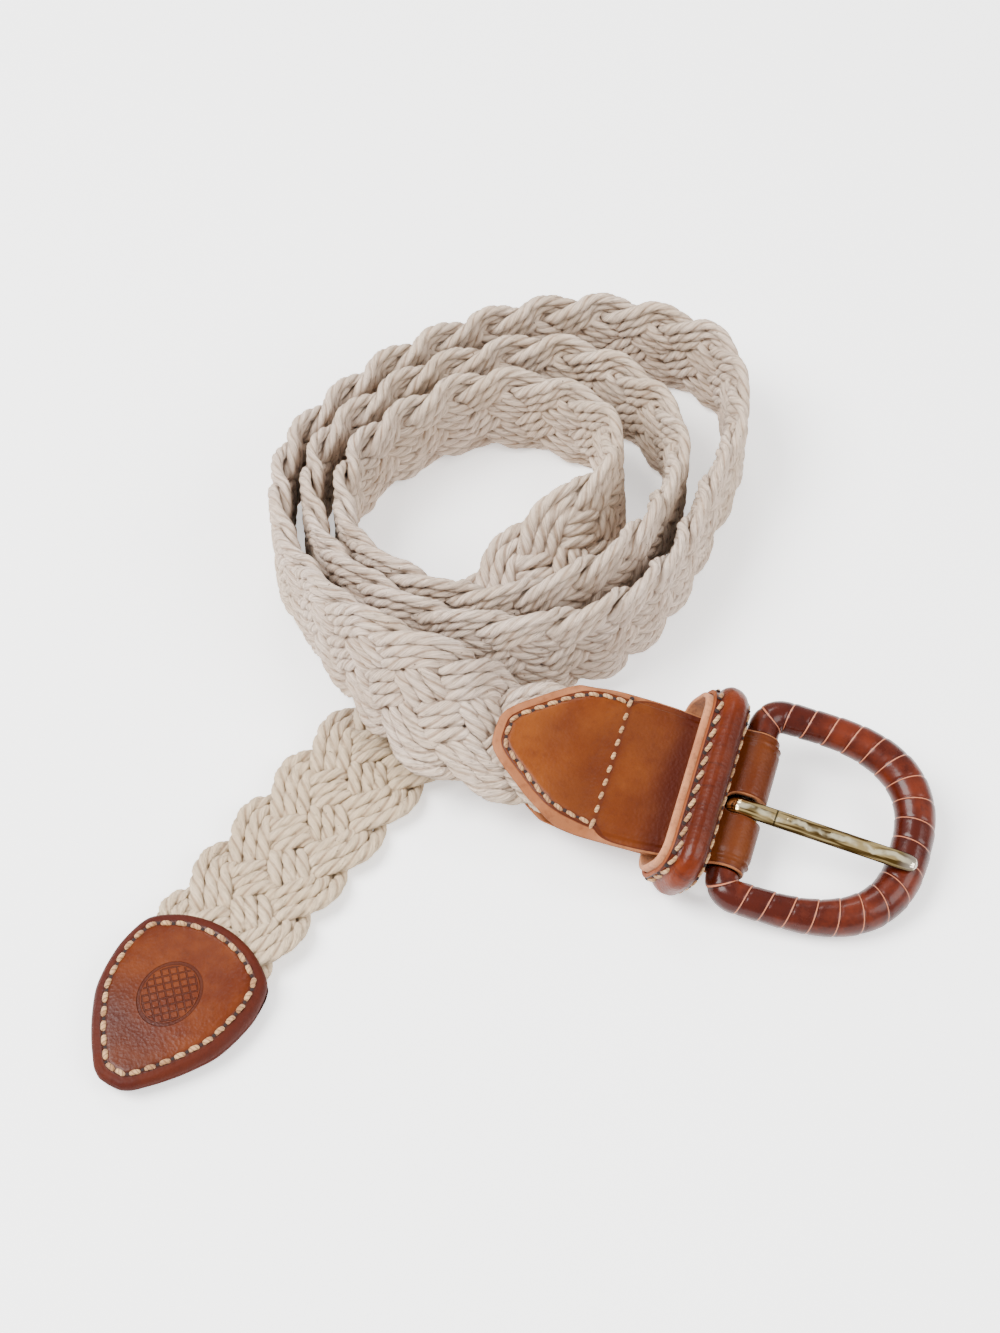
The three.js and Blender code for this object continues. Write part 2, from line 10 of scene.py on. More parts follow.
import bpy
import numpy as np
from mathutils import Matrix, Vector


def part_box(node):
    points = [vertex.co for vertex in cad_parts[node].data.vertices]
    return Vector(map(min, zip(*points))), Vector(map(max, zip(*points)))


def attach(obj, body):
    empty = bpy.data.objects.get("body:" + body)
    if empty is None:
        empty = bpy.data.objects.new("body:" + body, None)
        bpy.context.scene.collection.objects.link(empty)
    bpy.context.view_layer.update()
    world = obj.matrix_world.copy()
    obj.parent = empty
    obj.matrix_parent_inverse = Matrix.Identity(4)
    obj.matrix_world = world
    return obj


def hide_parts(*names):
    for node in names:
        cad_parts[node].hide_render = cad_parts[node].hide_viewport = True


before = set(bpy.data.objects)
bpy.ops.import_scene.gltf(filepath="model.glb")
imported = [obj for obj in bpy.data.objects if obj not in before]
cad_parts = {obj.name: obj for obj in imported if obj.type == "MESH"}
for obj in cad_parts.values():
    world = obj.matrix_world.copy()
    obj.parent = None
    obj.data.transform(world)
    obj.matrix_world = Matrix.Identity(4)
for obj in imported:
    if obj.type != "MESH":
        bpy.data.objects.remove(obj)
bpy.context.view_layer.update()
print("nodes:", ", ".join(sorted(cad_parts)))

# %% [markdown]
# ## Sizes
# All sizes are in millimetres and belong to the construction, so they are the same here as there.
# They become metres when a piece is made.

# %% Sizes of the strap, the leather and the buckle
STRAP = dict(width=35, thickness=6.2, pitch=16.2)
COIL_RADIUS, TURN_GAP, CROSSING_GAP = 40, 2.3, 0.5
TAIL_REACH, TAIL_HEADING = 138.2, 59
BAND_REACH, BAND_HEADING, BAND_PITCH = 70.9, -16.6, -2
SEAT = 0.32
TIP = dict(length=47.4, width=39, bury=17, fill=2.5, leather=1.7)
CHAPE = dict(reach=63.8, width=40.2, bury=25.6, leather=2.1, slack=1.6, fold=0.915)
SLOT = dict(width=5.8, reach=4.6, offset=-1.9)
KEEPER = dict(distance=12.6, tilt=21, band=10.2, leather=1.3, inner=45, above=8.45, below=5.55,
              corner=4.6, edge=1.1, padding=2.6)
BAR = 2.1
FRAME = dict(reach=42.6, half=24.9, shoulder=11, squareness=2.6, corner=4.6, offset=1.2, droop=2.7,
             arm=4.1, bow=5.1)
PRONG = dict(width=4.6, thickness=2.3, length=44.6, skew=-3.6, clearance=0.35)
print("strap", STRAP["width"], "mm wide, chape", CHAPE["reach"], "mm long")

# %% Where the strap lies
# Each row: angle round the coil, what its reach is a share of, the share, turns that lie inside,
# height of the lower edge, lean, share of the width, share of the thickness.
TAIL, COIL, BAND = TAIL_REACH, COIL_RADIUS, BAND_REACH
ROUTE = np.array([
    (-118.9, TAIL, 1, 0, 0.2, 90, 1, 0.8), (-118.85, TAIL, 0.965, 0, 0.19, 90, 1, 0.9),
    (-118.7, TAIL, 0.9, 0, 0.06, 90, 1, 1), (-118.3, TAIL, 0.82, 0, 0, 90, 1, 1),
    (-117.4, TAIL, 0.72, 0, 0, 90, 1, 1), (-115.9, TAIL, 0.61, 0, 0, 90, 1, 1),
    (-111.5, TAIL, 0.46, 0, 0, 90, 1, 1), (-104, COIL, 1.13, 0, 0, 90, 1, 1),
    (-90, COIL, 0.75, 0, 0, 82, 1, 1), (-47, COIL, 0.52, 0, 0, 56, 1, 1),
    (-4, COIL, 0.64, 0, 0, 22, 0.94, 1), (18, COIL, 0.8, 0, 0, 5, 0.89, 1),
    (47, COIL, 0.97, 0, 0, 0, 0.89, 1), (90, COIL, 0.95, 0, 0, 0, 0.89, 1),
    (123, COIL, 0.91, 0, 0, 0, 0.89, 1), (165, COIL, 1.01, 0, 0, 0, 0.89, 1),
    (205, COIL, 1.05, 0, 0.6, 0, 0.89, 1), (235, COIL, 1.05, 0, 1.13, 2, 0.89, 1),
    (265, COIL, 1.05, 0, 1.15, 4, 0.89, 1), (295, COIL, 1.01, 0, 1.15, 6, 0.89, 1),
    (325, COIL, 1.02, 0, 1.02, 6, 0.89, 1), (350, COIL, 1.03, 0.1, 0.3, 3, 0.89, 1),
    (378, COIL, 1.08, 0.8, 0, 0, 0.89, 1), (402, COIL, 1.13, 1, 0, 0, 0.89, 1),
    (432, COIL, 1.11, 1, 0, 0, 0.89, 1), (470, COIL, 0.94, 1, 0, 0, 0.89, 1),
    (495, COIL, 0.93, 1, 0, 0, 0.89, 1), (525, COIL, 1.04, 1, 0, 0, 0.89, 1),
    (565, COIL, 1.02, 1, 0.6, 0, 0.89, 1), (598, COIL, 1.02, 1, 1.13, 2, 0.89, 1),
    (630, COIL, 1.04, 1, 1.08, 4, 0.89, 1), (660, COIL, 1.05, 1, 0.7, 3, 0.89, 1),
    (693, COIL, 1.03, 1, 0.1, 0, 0.89, 1), (722, COIL, 1.06, 1.5, 0, 0, 0.89, 1),
    (742, COIL, 1.3, 2, 0, 0, 0.89, 1), (761, COIL, 1.56, 2, 0, 0, 0.89, 1),
    (785, COIL, 1.37, 2, 0, 0, 0.89, 1), (809, COIL, 1.12, 2, 0, 0, 0.89, 1),
    (838, COIL, 0.94, 2, 0, 0, 0.89, 1), (862, COIL, 0.92, 2, 0, 0, 0.89, 1),
    (888, COIL, 1.02, 2, 0, 0, 0.89, 1), (918, COIL, 1.03, 2, 0.5, 0, 0.89, 1),
    (935, BAND, 0.825, 0, 0.9, 1, 0.91, 1), (945, BAND, 0.855, 0, 1.1, 4, 0.94, 1),
    (954, BAND, 0.88, 0, 1.16, 9, 0.97, 1), (962, BAND, 0.915, 0, 1.26, 18, 1, 1),
    (970, BAND, 0.945, 0, 1.33, 31, 1, 1), (978, BAND, 0.972, 0, 1.38, 50, 1, 1),
    (985, BAND, 0.988, 0, 1.39, 70, 1, 1), (989, BAND, 1, 0, 1.37, 79, 1, 1),
])
TIP_END = np.array([(0.35, 0.96, 0.78), (0.65, 0.88, 0.7), (1, 0.78, 0.5)])
CHAPE_END = np.array([(0.2, 1, 1), (0.5, 1, 0.95), (0.8, 0.96, 0.78), (1, 0.92, 0.62)])
print(len(ROUTE), "rows from the leather tip to the buckle leather")

# %% [markdown]
# ## Curves and surfaces
# A few plain tools. A smooth line through values gives every profile, a tube or a sheet is a grid of
# points, and a grid becomes a closed mesh with its own flat map for the patterns.

# %% Lines through values


def steady(places, values):
    """Line through (places, values) that never runs past them: on each span a cubic
    v = a(1-b) + bB + h[m k(1-k)^2 - M k^2(1-k)], b = 3k^2 - 2k^3, with harmonic slopes m and M."""
    places, values = np.asarray(places, float), np.asarray(values, float)
    rise = np.diff(values) / np.diff(places)
    product = rise[:-1] * rise[1:]
    total = np.where(product > 0, rise[:-1] + rise[1:], 1)
    slopes = np.concatenate([rise[:1], np.where(product > 0, 2 * product / total, 0), rise[-1:]])

    def at(x):
        x = np.asarray(x, float)
        i = np.clip(np.searchsorted(places, x, side="right") - 1, 0, len(places) - 2)
        span = places[i + 1] - places[i]
        k = (x - places[i]) / span
        bend = 3 * k * k - 2 * k ** 3
        return (values[i] * (1 - bend) + values[i + 1] * bend
                + span * (slopes[i] * k * (1 - k) ** 2 - slopes[i + 1] * k * k * (1 - k)))
    return at


def smoothstep(x, low=0.0, high=1.0):
    """3k^2 - 2k^3 with k = (x - low) / (high - low), held between 0 and 1."""
    k = np.clip((np.asarray(x, float) - low) / (high - low), 0, 1)
    return k * k * (3 - 2 * k)


def unit(v):
    """v / |v| along the last axis."""
    return v / np.maximum(np.linalg.norm(v, axis=-1, keepdims=True), 1e-12)


def run(points):
    """Distance along a line of points, starting from 0."""
    return np.concatenate([[0], np.cumsum(np.linalg.norm(np.diff(points, axis=0), axis=1))])


def bend(points, steps):
    """Centripetal curve through points, steps per span: cubic Hermite with tangents
    T1 = h[(p1-p0)/a - (p2-p0)/(a+h) + (p2-p1)/h], spans a, h, b = sqrt of the chord."""
    p = np.vstack([2 * points[0] - points[1], points, 2 * points[-1] - points[-2]])
    chord = np.sqrt(np.linalg.norm(np.diff(p, axis=0), axis=1))[:, None]
    a, h, b = chord[:-2], chord[1:-1], chord[2:]
    p0, p1, p2, p3 = p[:-3], p[1:-2], p[2:-1], p[3:]
    start = h * ((p1 - p0) / a - (p2 - p0) / (a + h) + (p2 - p1) / h)
    stop = h * ((p2 - p1) / h - (p3 - p1) / (h + b) + (p3 - p2) / b)
    t = (np.arange(steps) / steps)[:, None, None]
    inner = ((2 * t ** 3 - 3 * t ** 2 + 1) * p1 + (t ** 3 - 2 * t ** 2 + t) * start
             + (3 * t ** 2 - 2 * t ** 3) * p2 + (t ** 3 - t ** 2) * stop)
    return np.vstack([inner.transpose(1, 0, 2).reshape(-1, points.shape[1]), points[-1:]])


def sampled(at, places, rows):
    """Each column of rows, known at places, read at the places at by straight lines."""
    return np.stack([np.interp(at, places, column) for column in rows.T], -1)


# %% From a grid of points to a closed mesh


def skin(grid, along=None, around=None, looped=False, flat=None):
    """Faces and map of a tube: rings run round, row i of the grid is ring i. The two ends are closed
    with fans to their middles, unless the tube is looped. The map is (along_i, around_j), or flat, a
    grid of its own with a pair for each point."""
    rings, sides = grid.shape[:2]
    along = np.arange(rings) if along is None else along
    around = np.linspace(0, 1, sides + 1) if around is None else around
    i, j = np.meshgrid(np.arange(rings if looped else rings - 1), np.arange(sides), indexing="ij")
    i, j = i.ravel(), j.ravel()
    n, k = (i + 1) % rings, (j + 1) % sides
    quads = np.stack([i * sides + j, i * sides + k, n * sides + k, n * sides + j], 1)
    step = along[1] - along[0]
    far = np.where(n > i, along[n], along[i] + step)
    u = np.stack([along[i], along[i], far, far], 1)
    v = np.stack([around[j], around[j + 1], around[j + 1], around[j]], 1)
    points = grid.reshape(-1, 3)
    faces, maps = [quads], [np.stack([u, v], 2)]
    if not looped:
        points = np.vstack([points, grid[0].mean(0), grid[-1].mean(0)])
        j = np.arange(sides)
        k = (j + 1) % sides
        first, last = len(points) - 2, (rings - 1) * sides
        fans = [np.stack([np.full(sides, first), k, j], 1),
                np.stack([np.full(sides, first + 1), last + j, last + k], 1)]
        for fan, place in zip(fans, (along[0], along[-1])):
            faces.append(fan)
            maps.append(np.stack([np.full((sides, 3), place), around[fan % sides]], 2))
    if flat is not None:
        pairs = np.vstack([flat.reshape(-1, 2), flat[0].mean(0), flat[-1].mean(0)])
        maps = [pairs[f] for f in faces]
    return dict(points=points, faces=faces, maps=maps, sides=sides)


def together(skins):
    """Several skins as one, their faces renumbered."""
    faces, maps, start = [], [], 0
    for s in skins:
        faces += [f + start for f in s["faces"]]
        maps += s["maps"]
        start += len(s["points"])
    return dict(points=np.vstack([s["points"] for s in skins]), faces=faces, maps=maps)


def make(name, shape, finish, body, replaced=(), marks=None):
    """A mesh object from a skin. marks are named values, one for each point."""
    mesh = bpy.data.meshes.new(name)
    sizes = np.concatenate([np.full(len(f), f.shape[1]) for f in shape["faces"]])
    corners = np.concatenate([f.ravel() for f in shape["faces"]]).astype(np.int32)
    mesh.vertices.add(len(shape["points"]))
    mesh.vertices.foreach_set("co", (shape["points"] * 0.001).astype(np.float32).ravel())
    mesh.loops.add(len(corners))
    mesh.loops.foreach_set("vertex_index", corners)
    mesh.polygons.add(len(sizes))
    starts = np.concatenate([[0], np.cumsum(sizes)[:-1]]).astype(np.int32)
    mesh.polygons.foreach_set("loop_start", starts)
    mesh.polygons.foreach_set("use_smooth", np.ones(len(sizes), bool))
    layer = mesh.uv_layers.new(name="flat")
    flat = np.concatenate([m.reshape(-1, 2) for m in shape["maps"]]).astype(np.float32)
    layer.data.foreach_set("uv", flat.ravel())
    for mark, values in (marks or {}).items():
        field = mesh.attributes.new(mark, "FLOAT", "POINT")
        padded = np.zeros(len(shape["points"]), np.float32)
        padded[:len(values)] = values
        field.data.foreach_set("value", padded)
    mesh.update()
    mesh.validate()
    mesh.materials.append(finish)
    thing = bpy.data.objects.new(name, mesh)
    bpy.context.scene.collection.objects.link(thing)
    outward(thing)
    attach(thing, body)
    if replaced:
        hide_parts(*replaced)
    mesh.calc_loop_triangles()
    print(f"{name}: {len(mesh.loop_triangles)} triangles")
    return thing


def outward(thing):
    """Turns the faces over where the closed mesh has a negative volume: V = sum a.(b x c) / 6."""
    mesh = thing.data
    mesh.calc_loop_triangles()
    corners = np.empty(3 * len(mesh.loop_triangles), np.int32)
    mesh.loop_triangles.foreach_get("vertices", corners)
    points = np.empty(3 * len(mesh.vertices), np.float32)
    mesh.vertices.foreach_get("co", points)
    a, b, c = points.reshape(-1, 3).astype(float)[corners.reshape(-1, 3)].transpose(1, 0, 2)
    if np.einsum("ij,ij->", a, np.cross(b, c)) < 0:
        mesh.flip_normals()


# %% [markdown]
# ## Where the strap lies
# The strap's middle line comes from the table above: out of the leather tip, flat under the coil,
# round it two and a half times on its edge, and over its own tail into the buckle leather. At each
# place it has three directions: along, across its width, and out of its face.

# %% The route


def straight_end(row, heading, pitch, buried, ends):
    """Rows of the strap inside the leather: p + d (cos h, sin h), falling or rising with tan(pitch)."""
    d = ends[:, 0] * buried
    rows = np.tile(row, (len(ends), 1))
    rows[:, 0] += d * math.cos(heading)
    rows[:, 1] += d * math.sin(heading)
    rows[:, 2] += d * math.tan(pitch)
    rows[:, 4:] = ends[:, 1:]
    return rows


def strap_route():
    """Middle, along, across, out, width share and thickness share at even steps along the strap."""
    layer = STRAP["thickness"] + TURN_GAP
    over = STRAP["thickness"] + CROSSING_GAP
    turn = np.radians(ROUTE[:, 0])
    r = ROUTE[:, 1] * ROUTE[:, 2] + ROUTE[:, 3] * layer
    rows = np.stack([r * np.cos(turn), r * np.sin(turn), ROUTE[:, 4] * over, *ROUTE[:, 5:].T], 1)
    tip = straight_end(rows[0], math.radians(TAIL_HEADING) + math.pi, 0, TIP["bury"], TIP_END)
    band = straight_end(rows[-1], math.radians(BAND_HEADING), math.radians(BAND_PITCH), CHAPE["bury"],
                        CHAPE_END)
    rows = np.vstack([tip[::-1], rows, band])
    steps = 40
    plan = bend(rows[:, :2], steps)
    reached = run(plan)
    places = reached[::steps]
    s = np.linspace(0, reached[-1], 2401)
    flat = sampled(s, reached, plan)
    lower, lean, wide, thick = (steady(places, rows[:, c])(s) for c in (2, 3, 4, 5))
    lean = np.radians(lean)
    z = lower + STRAP["width"] / 2 * wide * np.cos(lean) + STRAP["thickness"] / 2 * np.sin(lean)
    middle = np.column_stack([flat, z])
    along = unit(np.gradient(middle, s, axis=0))
    left = unit(np.stack([-along[:, 1], along[:, 0], np.zeros(len(s))], 1))
    across = np.sin(lean)[:, None] * left + np.cos(lean)[:, None] * np.array([0, 0, 1])
    across = unit(across - np.sum(across * along, 1, keepdims=True) * along)
    return dict(s=s, length=s[-1], middle=middle, along=along, across=across,
                out=np.cross(along, across), wide=wide, thick=thick)


route = strap_route()
print(f"strap: {route['length']:.1f} mm")

# %% Places of the leather tip, the keeper and the buckle on the strap


def turned(axis, degrees):
    """Rotation matrix about x, y or z, right-handed."""
    c, s = math.cos(math.radians(degrees)), math.sin(math.radians(degrees))
    i, j = {"x": (1, 2), "y": (2, 0), "z": (0, 1)}[axis]
    m = np.eye(3)
    m[i, i] = m[j, j] = c
    m[i, j], m[j, i] = -s, s
    return m


class Place:
    """Where a piece's own x, y, z lie in the belt: point = origin + axes @ own."""

    def __init__(self, origin, axes):
        self.origin, self.axes = np.asarray(origin, float), axes

    def put(self, own):
        """Own coordinates to the belt's."""
        return self.origin + np.asarray(own, float) @ self.axes.T

    def moved(self, x=0.0, y=0.0, turn=None):
        """The place moved along its own axes, then turned about them."""
        axes = self.axes if turn is None else self.axes @ turn
        return Place(self.put([x, y, 0]), axes)


def seat_on(i):
    """Place with x along the strap, y across it and z out of its face."""
    axes = np.stack([route["along"][i], route["across"][i], route["out"][i]], 1)
    return Place(route["middle"][i], axes)


bar_place = seat_on(-1).moved(x=CHAPE["reach"] - CHAPE["bury"])
drooped = bar_place.moved(turn=turned("y", FRAME["droop"]))
ring_place = drooped.moved(y=FRAME["offset"])
low, high = (np.array(corner) * 1000 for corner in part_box("heel_bar"))
shift = (low + high) / 2 - ring_place.origin
for place in (bar_place, drooped, ring_place):
    place.origin += shift
route["middle"] += shift
tip_place = seat_on(0)
keeper_place = bar_place.moved(x=-KEEPER["distance"], turn=turned("y", KEEPER["tilt"]))
prong_place = drooped.moved(y=SLOT["offset"], turn=turned("z", PRONG["skew"]))
print("coil's middle:", np.round(shift, 2), "mm from the part's origin")

# %% [markdown]
# ## Finishes
# Cotton, leather, cream thread and brass, each mixed from noise in the object's own coordinates and
# from the flat map that its piece carries. The small class below lets the sums read as sums.

# %% Sums in a material


class Tone:
    """A value inside a material. Sums, products and comparisons of tones are tones again."""

    def __init__(self, tree, out):
        self.tree, self.out = tree, out

    def node(self, kind, settings, values, out=0):
        """Any other node: its type, its settings, and its sockets' values or links."""
        made = self.tree.nodes.new("ShaderNode" + kind)
        for key, value in settings.items():
            setattr(made, key, value)
        for key, value in values.items():
            if isinstance(value, Tone):
                self.tree.links.new(value.out, made.inputs[key])
            else:
                made.inputs[key].default_value = value
        return Tone(self.tree, made.outputs[out])

    def sum(self, operation, *values):
        """One Math node."""
        return self.node("Math", {"operation": operation}, dict(enumerate(values)))

    def __add__(self, other): return self.sum("ADD", self, other)
    def __radd__(self, other): return self.sum("ADD", other, self)
    def __sub__(self, other): return self.sum("SUBTRACT", self, other)
    def __rsub__(self, other): return self.sum("SUBTRACT", other, self)
    def __mul__(self, other): return self.sum("MULTIPLY", self, other)
    def __rmul__(self, other): return self.sum("MULTIPLY", other, self)
    def __truediv__(self, other): return self.sum("DIVIDE", self, other)
    def __rtruediv__(self, other): return self.sum("DIVIDE", other, self)
    def __pow__(self, other): return self.sum("POWER", self, other)
    def __rpow__(self, other): return self.sum("POWER", other, self)
    def __abs__(self): return self.sum("ABSOLUTE", self)

    def fraction(self):
        """What is left above the whole number."""
        return self.sum("FRACT", self)

    def between(self, low, high, start=0.0, stop=1.0):
        """Goes smoothly from start to stop as the tone goes from low to high."""
        return self.node("MapRange", {"interpolation_type": "SMOOTHSTEP"},
                         {"Value": self, 1: low, 2: high, 3: start, 4: stop})

    def colours(self, first, second):
        """first where the tone is 0, second where it is 1."""
        return self.node("Mix", {"data_type": "RGBA"}, {0: self, 6: first, 7: second}, 2)

    def noise(self, where, scale, detail=3.0, roughness=0.5):
        """Cloudy values around 0.5."""
        return self.node("TexNoise", {}, {"Vector": where, "Scale": scale, "Detail": detail,
                                          "Roughness": roughness})


def rgb(r, g, b):
    """Linear colour from the 0 to 255 values that a screen shows."""
    c = np.array([r, g, b]) / 255
    return (*np.where(c <= 0.04045, c / 12.92, ((c + 0.055) / 1.055) ** 2.4), 1.0)


def finish_of(name, **constants):
    """A new finish with the shader's constants set: returns it, its shader and a tone to start from."""
    material = bpy.data.materials.new(name)
    material.use_nodes = True
    shader = material.node_tree.nodes["Principled BSDF"]
    for key, value in constants.items():
        shader.inputs[key.replace("_", " ")].default_value = value
    return material, shader, Tone(material.node_tree, None)


def paint(shader, tone, socket):
    """Feeds a tone to one of the shader's sockets."""
    tone.tree.links.new(tone.out, shader.inputs[socket])


def relief(shader, height, distance, strength=1.0, below=None):
    """Bump in metres, on top of another bump where one is given."""
    values = {"Height": height, "Distance": distance, "Strength": strength}
    if below is not None:
        values["Normal"] = below
    bump = height.node("Bump", {}, values)
    paint(shader, bump, "Normal")
    return bump


def own_place(start):
    """Object coordinates in metres."""
    return start.node("TexCoord", {}, {}, "Object")


def flat_map(start):
    """The two values of the piece's flat map."""
    flat = start.node("UVMap", {"uv_map": "flat"}, {})
    parts = flat.node("SeparateXYZ", {}, {0: flat})
    return parts, Tone(parts.tree, parts.out.node.outputs[1])


def stretched(start, x, y, z=0.0):
    """A place for noise from values of its own, such as the flat map stretched one way."""
    return start.node("CombineXYZ", {}, {0: x, 1: y, 2: z})


# %% Cotton cord
# Three plies of soft, slightly hairy cotton. The map's first value is the way along the cord and its
# second the way round, turning with the plies, so lines of equal second value follow the fibres.


def cotton():
    """Pale fibres on a ply, with painted shade in the creases between plies, yellower on the tail."""
    material, shader, start = finish_of("cotton", Roughness=0.93, Sheen_Weight=0.12,
                                        Sheen_Roughness=0.6, Specular_IOR_Level=0.15)
    where = own_place(start)
    along, around = flat_map(start)
    fibre = start.noise(stretched(start, along * 0.35 + around * 3.0, around * 34.0), 1.0, 4.0, 0.65)
    hair = start.noise(stretched(start, along * 0.9, around * 70.0, 7.0), 1.0, 2.0, 0.6)
    patch = start.noise(where, 95.0, 3.0)
    wide = start.noise(where, 14.0, 2.0)
    ply = abs((around * 3.0).fraction() - 0.5) * 2.0
    # Noise that breaks up the painted shade in the creases between the plies.
    crease_shade_break = start.noise(where, 240.0, 3.0, 0.6)
    crease_shade = ply.between(0.6, 1.0) * crease_shade_break.between(0.34, 0.6, 0.45, 1.0)
    light, body, shade = rgb(230, 209, 192), rgb(214, 191, 171), rgb(176, 148, 124)
    tone = patch.between(0.32, 0.68).colours(body, light)
    tone = (fibre.between(0.4, 0.66) * 0.8).colours(tone, shade)
    tone = (wide.between(0.42, 0.66) * 0.25).colours(tone, rgb(206, 182, 148))
    tail = start.node("Attribute", {"attribute_name": "tail"}, {}, "Fac")
    tone = (tail * 0.6).colours(tone, rgb(204, 179, 138))
    # Painted shade in the creases between the plies.
    tone = (crease_shade * 0.75).colours(tone, rgb(128, 98, 72))
    fleck = start.noise(where, 900.0, 1.0).between(0.74, 0.8)
    tone = (fleck * 0.8).colours(tone, rgb(78, 56, 38))
    paint(shader, tone, "Base Color")
    coarse = relief(shader, fibre, 0.0007, 0.95)
    relief(shader, hair, 0.00035, 0.8, coarse)
    return material


# %% Leather
# Smooth leather with a fine grain under a soft wax shine. The mark called inset is the distance from
# the cut edge in millimetres: it places the pared rim, the dark line inside it and the sewn groove.
# Another mark is 1 beside the keeper, where a painted shadow of the keeper falls on leather that is
# also stained there, and press is 1 along the straight seam.


TOOLING = dict(centre=-5.0, along=9.0, across=7.6, grid=2.7)


def tooling(start):
    """Diamond tooling in an oval on the tip: lines |frac((x ± y) / g) - 1/2| small, and a rim line."""
    along, across = flat_map(start)
    x, y = along * 10.0 - TOOLING["centre"], across * 10.0
    oval = ((x / TOOLING["along"]) ** 2.0 + (abs(y) / TOOLING["across"]) ** 2.0) ** 0.5
    rising = 1.0 - abs(((x + y) / TOOLING["grid"]).fraction() - 0.5).between(0.07, 0.15)
    falling = 1.0 - abs(((x - y) / TOOLING["grid"]).fraction() - 0.5).between(0.07, 0.15)
    lattice = rising.sum("MAXIMUM", rising, falling) * (1.0 - oval.between(0.83, 0.85))
    border = 1.0 - abs(oval - 0.93).between(0.035, 0.06)
    return lattice.sum("MAXIMUM", lattice, border)


def leather(name, light, body, dark, raw, rim, groove, grain, gloss=0.36, streaks=0.0, tooled=False):
    """Clouds of light on body and dark, then by their marks the pressed places, the painted shadow of
    the keeper over stained leather beside it, and the cut places.
    """
    material, shader, start = finish_of(name, Specular_IOR_Level=0.12, Coat_Roughness=0.2, Coat_IOR=1.35)
    where = own_place(start)
    cloud = start.noise(where, 60.0, 4.0, 0.6)
    slow = start.noise(where, 26.0, 2.0)
    pore = start.noise(where, 1500.0, 3.0, 0.6)
    crinkle = start.node("TexVoronoi", {"feature": "F1"}, {"Vector": where, "Scale": 1150.0})
    fine = start.noise(where, 420.0, 4.0, 0.65)
    inset = start.node("Attribute", {"attribute_name": "inset"}, {}, "Fac")
    shadow_and_stain = start.node("Attribute", {"attribute_name": "shadow_and_stain"}, {}, "Fac")
    press = start.node("Attribute", {"attribute_name": "press"}, {}, "Fac")
    edge = 1.0 - inset.between(rim - 0.12, rim + 0.12)
    line = 1.0 - abs(inset - (rim + 0.22)).between(0.05, 0.4)
    sewn_in = 1.0 - abs(inset - groove).between(0.3, 0.95)
    tone = cloud.between(0.36, 0.66).colours(body, light)
    tone = (slow.between(0.46, 0.68) * 0.6).colours(tone, dark)
    tone = (fine.between(0.5, 0.72) * 0.25).colours(tone, dark)
    tone = (crinkle.between(0.0003, 0.0011) * 0.25).colours(tone, dark)
    if streaks:
        along, around = flat_map(start)
        fold = start.noise(stretched(start, along * 8.0, around * 1.3), 1.0, 5.0, 0.7)
        tone = (fold.between(0.48, 0.7) * streaks).colours(tone, dark)
    height = fine + crinkle * 0.5
    if tooled:
        cut = tooling(start)
        tone = (cut * 0.62).colours(tone, dark)
        height = height - cut * 2.5
    tone = (sewn_in * 0.6).colours(tone, dark)
    tone = (press * 0.6).colours(tone, dark)
    # Painted shadow of the keeper over the leather beside it, which is also stained there.
    tone = (shadow_and_stain * 0.85).colours(tone, rgb(56, 11, 2))
    tone = edge.colours(tone, (cloud.between(0.35, 0.65) * 0.4).colours(raw, body))
    tone = (edge * fine.between(0.45, 0.75) * 0.35).colours(tone, dark)
    tone = (line * 0.85).colours(tone, dark)
    paint(shader, tone, "Base Color")
    paint(shader, cloud.between(0.3, 0.7, gloss, gloss + 0.14) + edge * 0.22, "Roughness")
    paint(shader, (1.0 - edge) * (1.0 - shadow_and_stain) * 0.12, "Coat Weight")
    rough = relief(shader, height, 0.00009 * grain, 0.9)
    relief(shader, pore, 0.00003 * grain, 0.8, rough)
    return material


# %% Thread, holes, raw hide and metal


def thread():
    """Waxed cream thread of two twisted strands, with painted shade in the dip between them."""
    material, shader, start = finish_of("thread", Roughness=0.72, Sheen_Weight=0.1)
    along, around = flat_map(start)
    twist = (along * 0.9 + around * 2.0).fraction()
    dip = (abs(twist - 0.5) * 2.0).between(0.6, 1.0)
    mottle = start.noise(own_place(start), 420.0, 3.0)
    tone = mottle.between(0.35, 0.7).colours(rgb(178, 138, 94), rgb(136, 94, 56))
    # Painted shade in the dip between the two strands.
    paint(shader, (dip * 0.6).colours(tone, rgb(96, 54, 26)), "Base Color")
    relief(shader, 1.0 - dip, 0.00014)
    return material


def hole_shade():
    """Painted shade inside a needle hole: a near black ball where the hole's shadow falls."""
    material, shader, start = finish_of("painted_hole_shade", Roughness=0.9)
    mottle = start.noise(own_place(start), 900.0, 2.0)
    paint(shader, mottle.between(0.3, 0.7).colours(rgb(18, 4, 2), rgb(34, 9, 4)), "Base Color")
    relief(shader, mottle, 0.0001)
    return material


def raw_hide():
    """The flesh side of a hide: matt, fibrous and paler than the face, palest at its cut edges."""
    material, shader, start = finish_of("raw_hide", Roughness=0.88, Sheen_Weight=0.1)
    where = own_place(start)
    nap = start.noise(where, 700.0, 5.0, 0.7)
    cloud = start.noise(where, 90.0, 3.0)
    inset = start.node("Attribute", {"attribute_name": "inset"}, {}, "Fac")
    edge = 1.0 - inset.between(0.3, 0.7)
    tone = cloud.between(0.35, 0.7).colours(rgb(104, 58, 30), rgb(74, 36, 18))
    tone = edge.colours(tone, cloud.between(0.35, 0.7).colours(rgb(176, 116, 76), rgb(154, 92, 54)))
    paint(shader, (nap.between(0.45, 0.7) * 0.4).colours(tone, rgb(66, 32, 16)), "Base Color")
    relief(shader, nap, 0.00022)
    return material


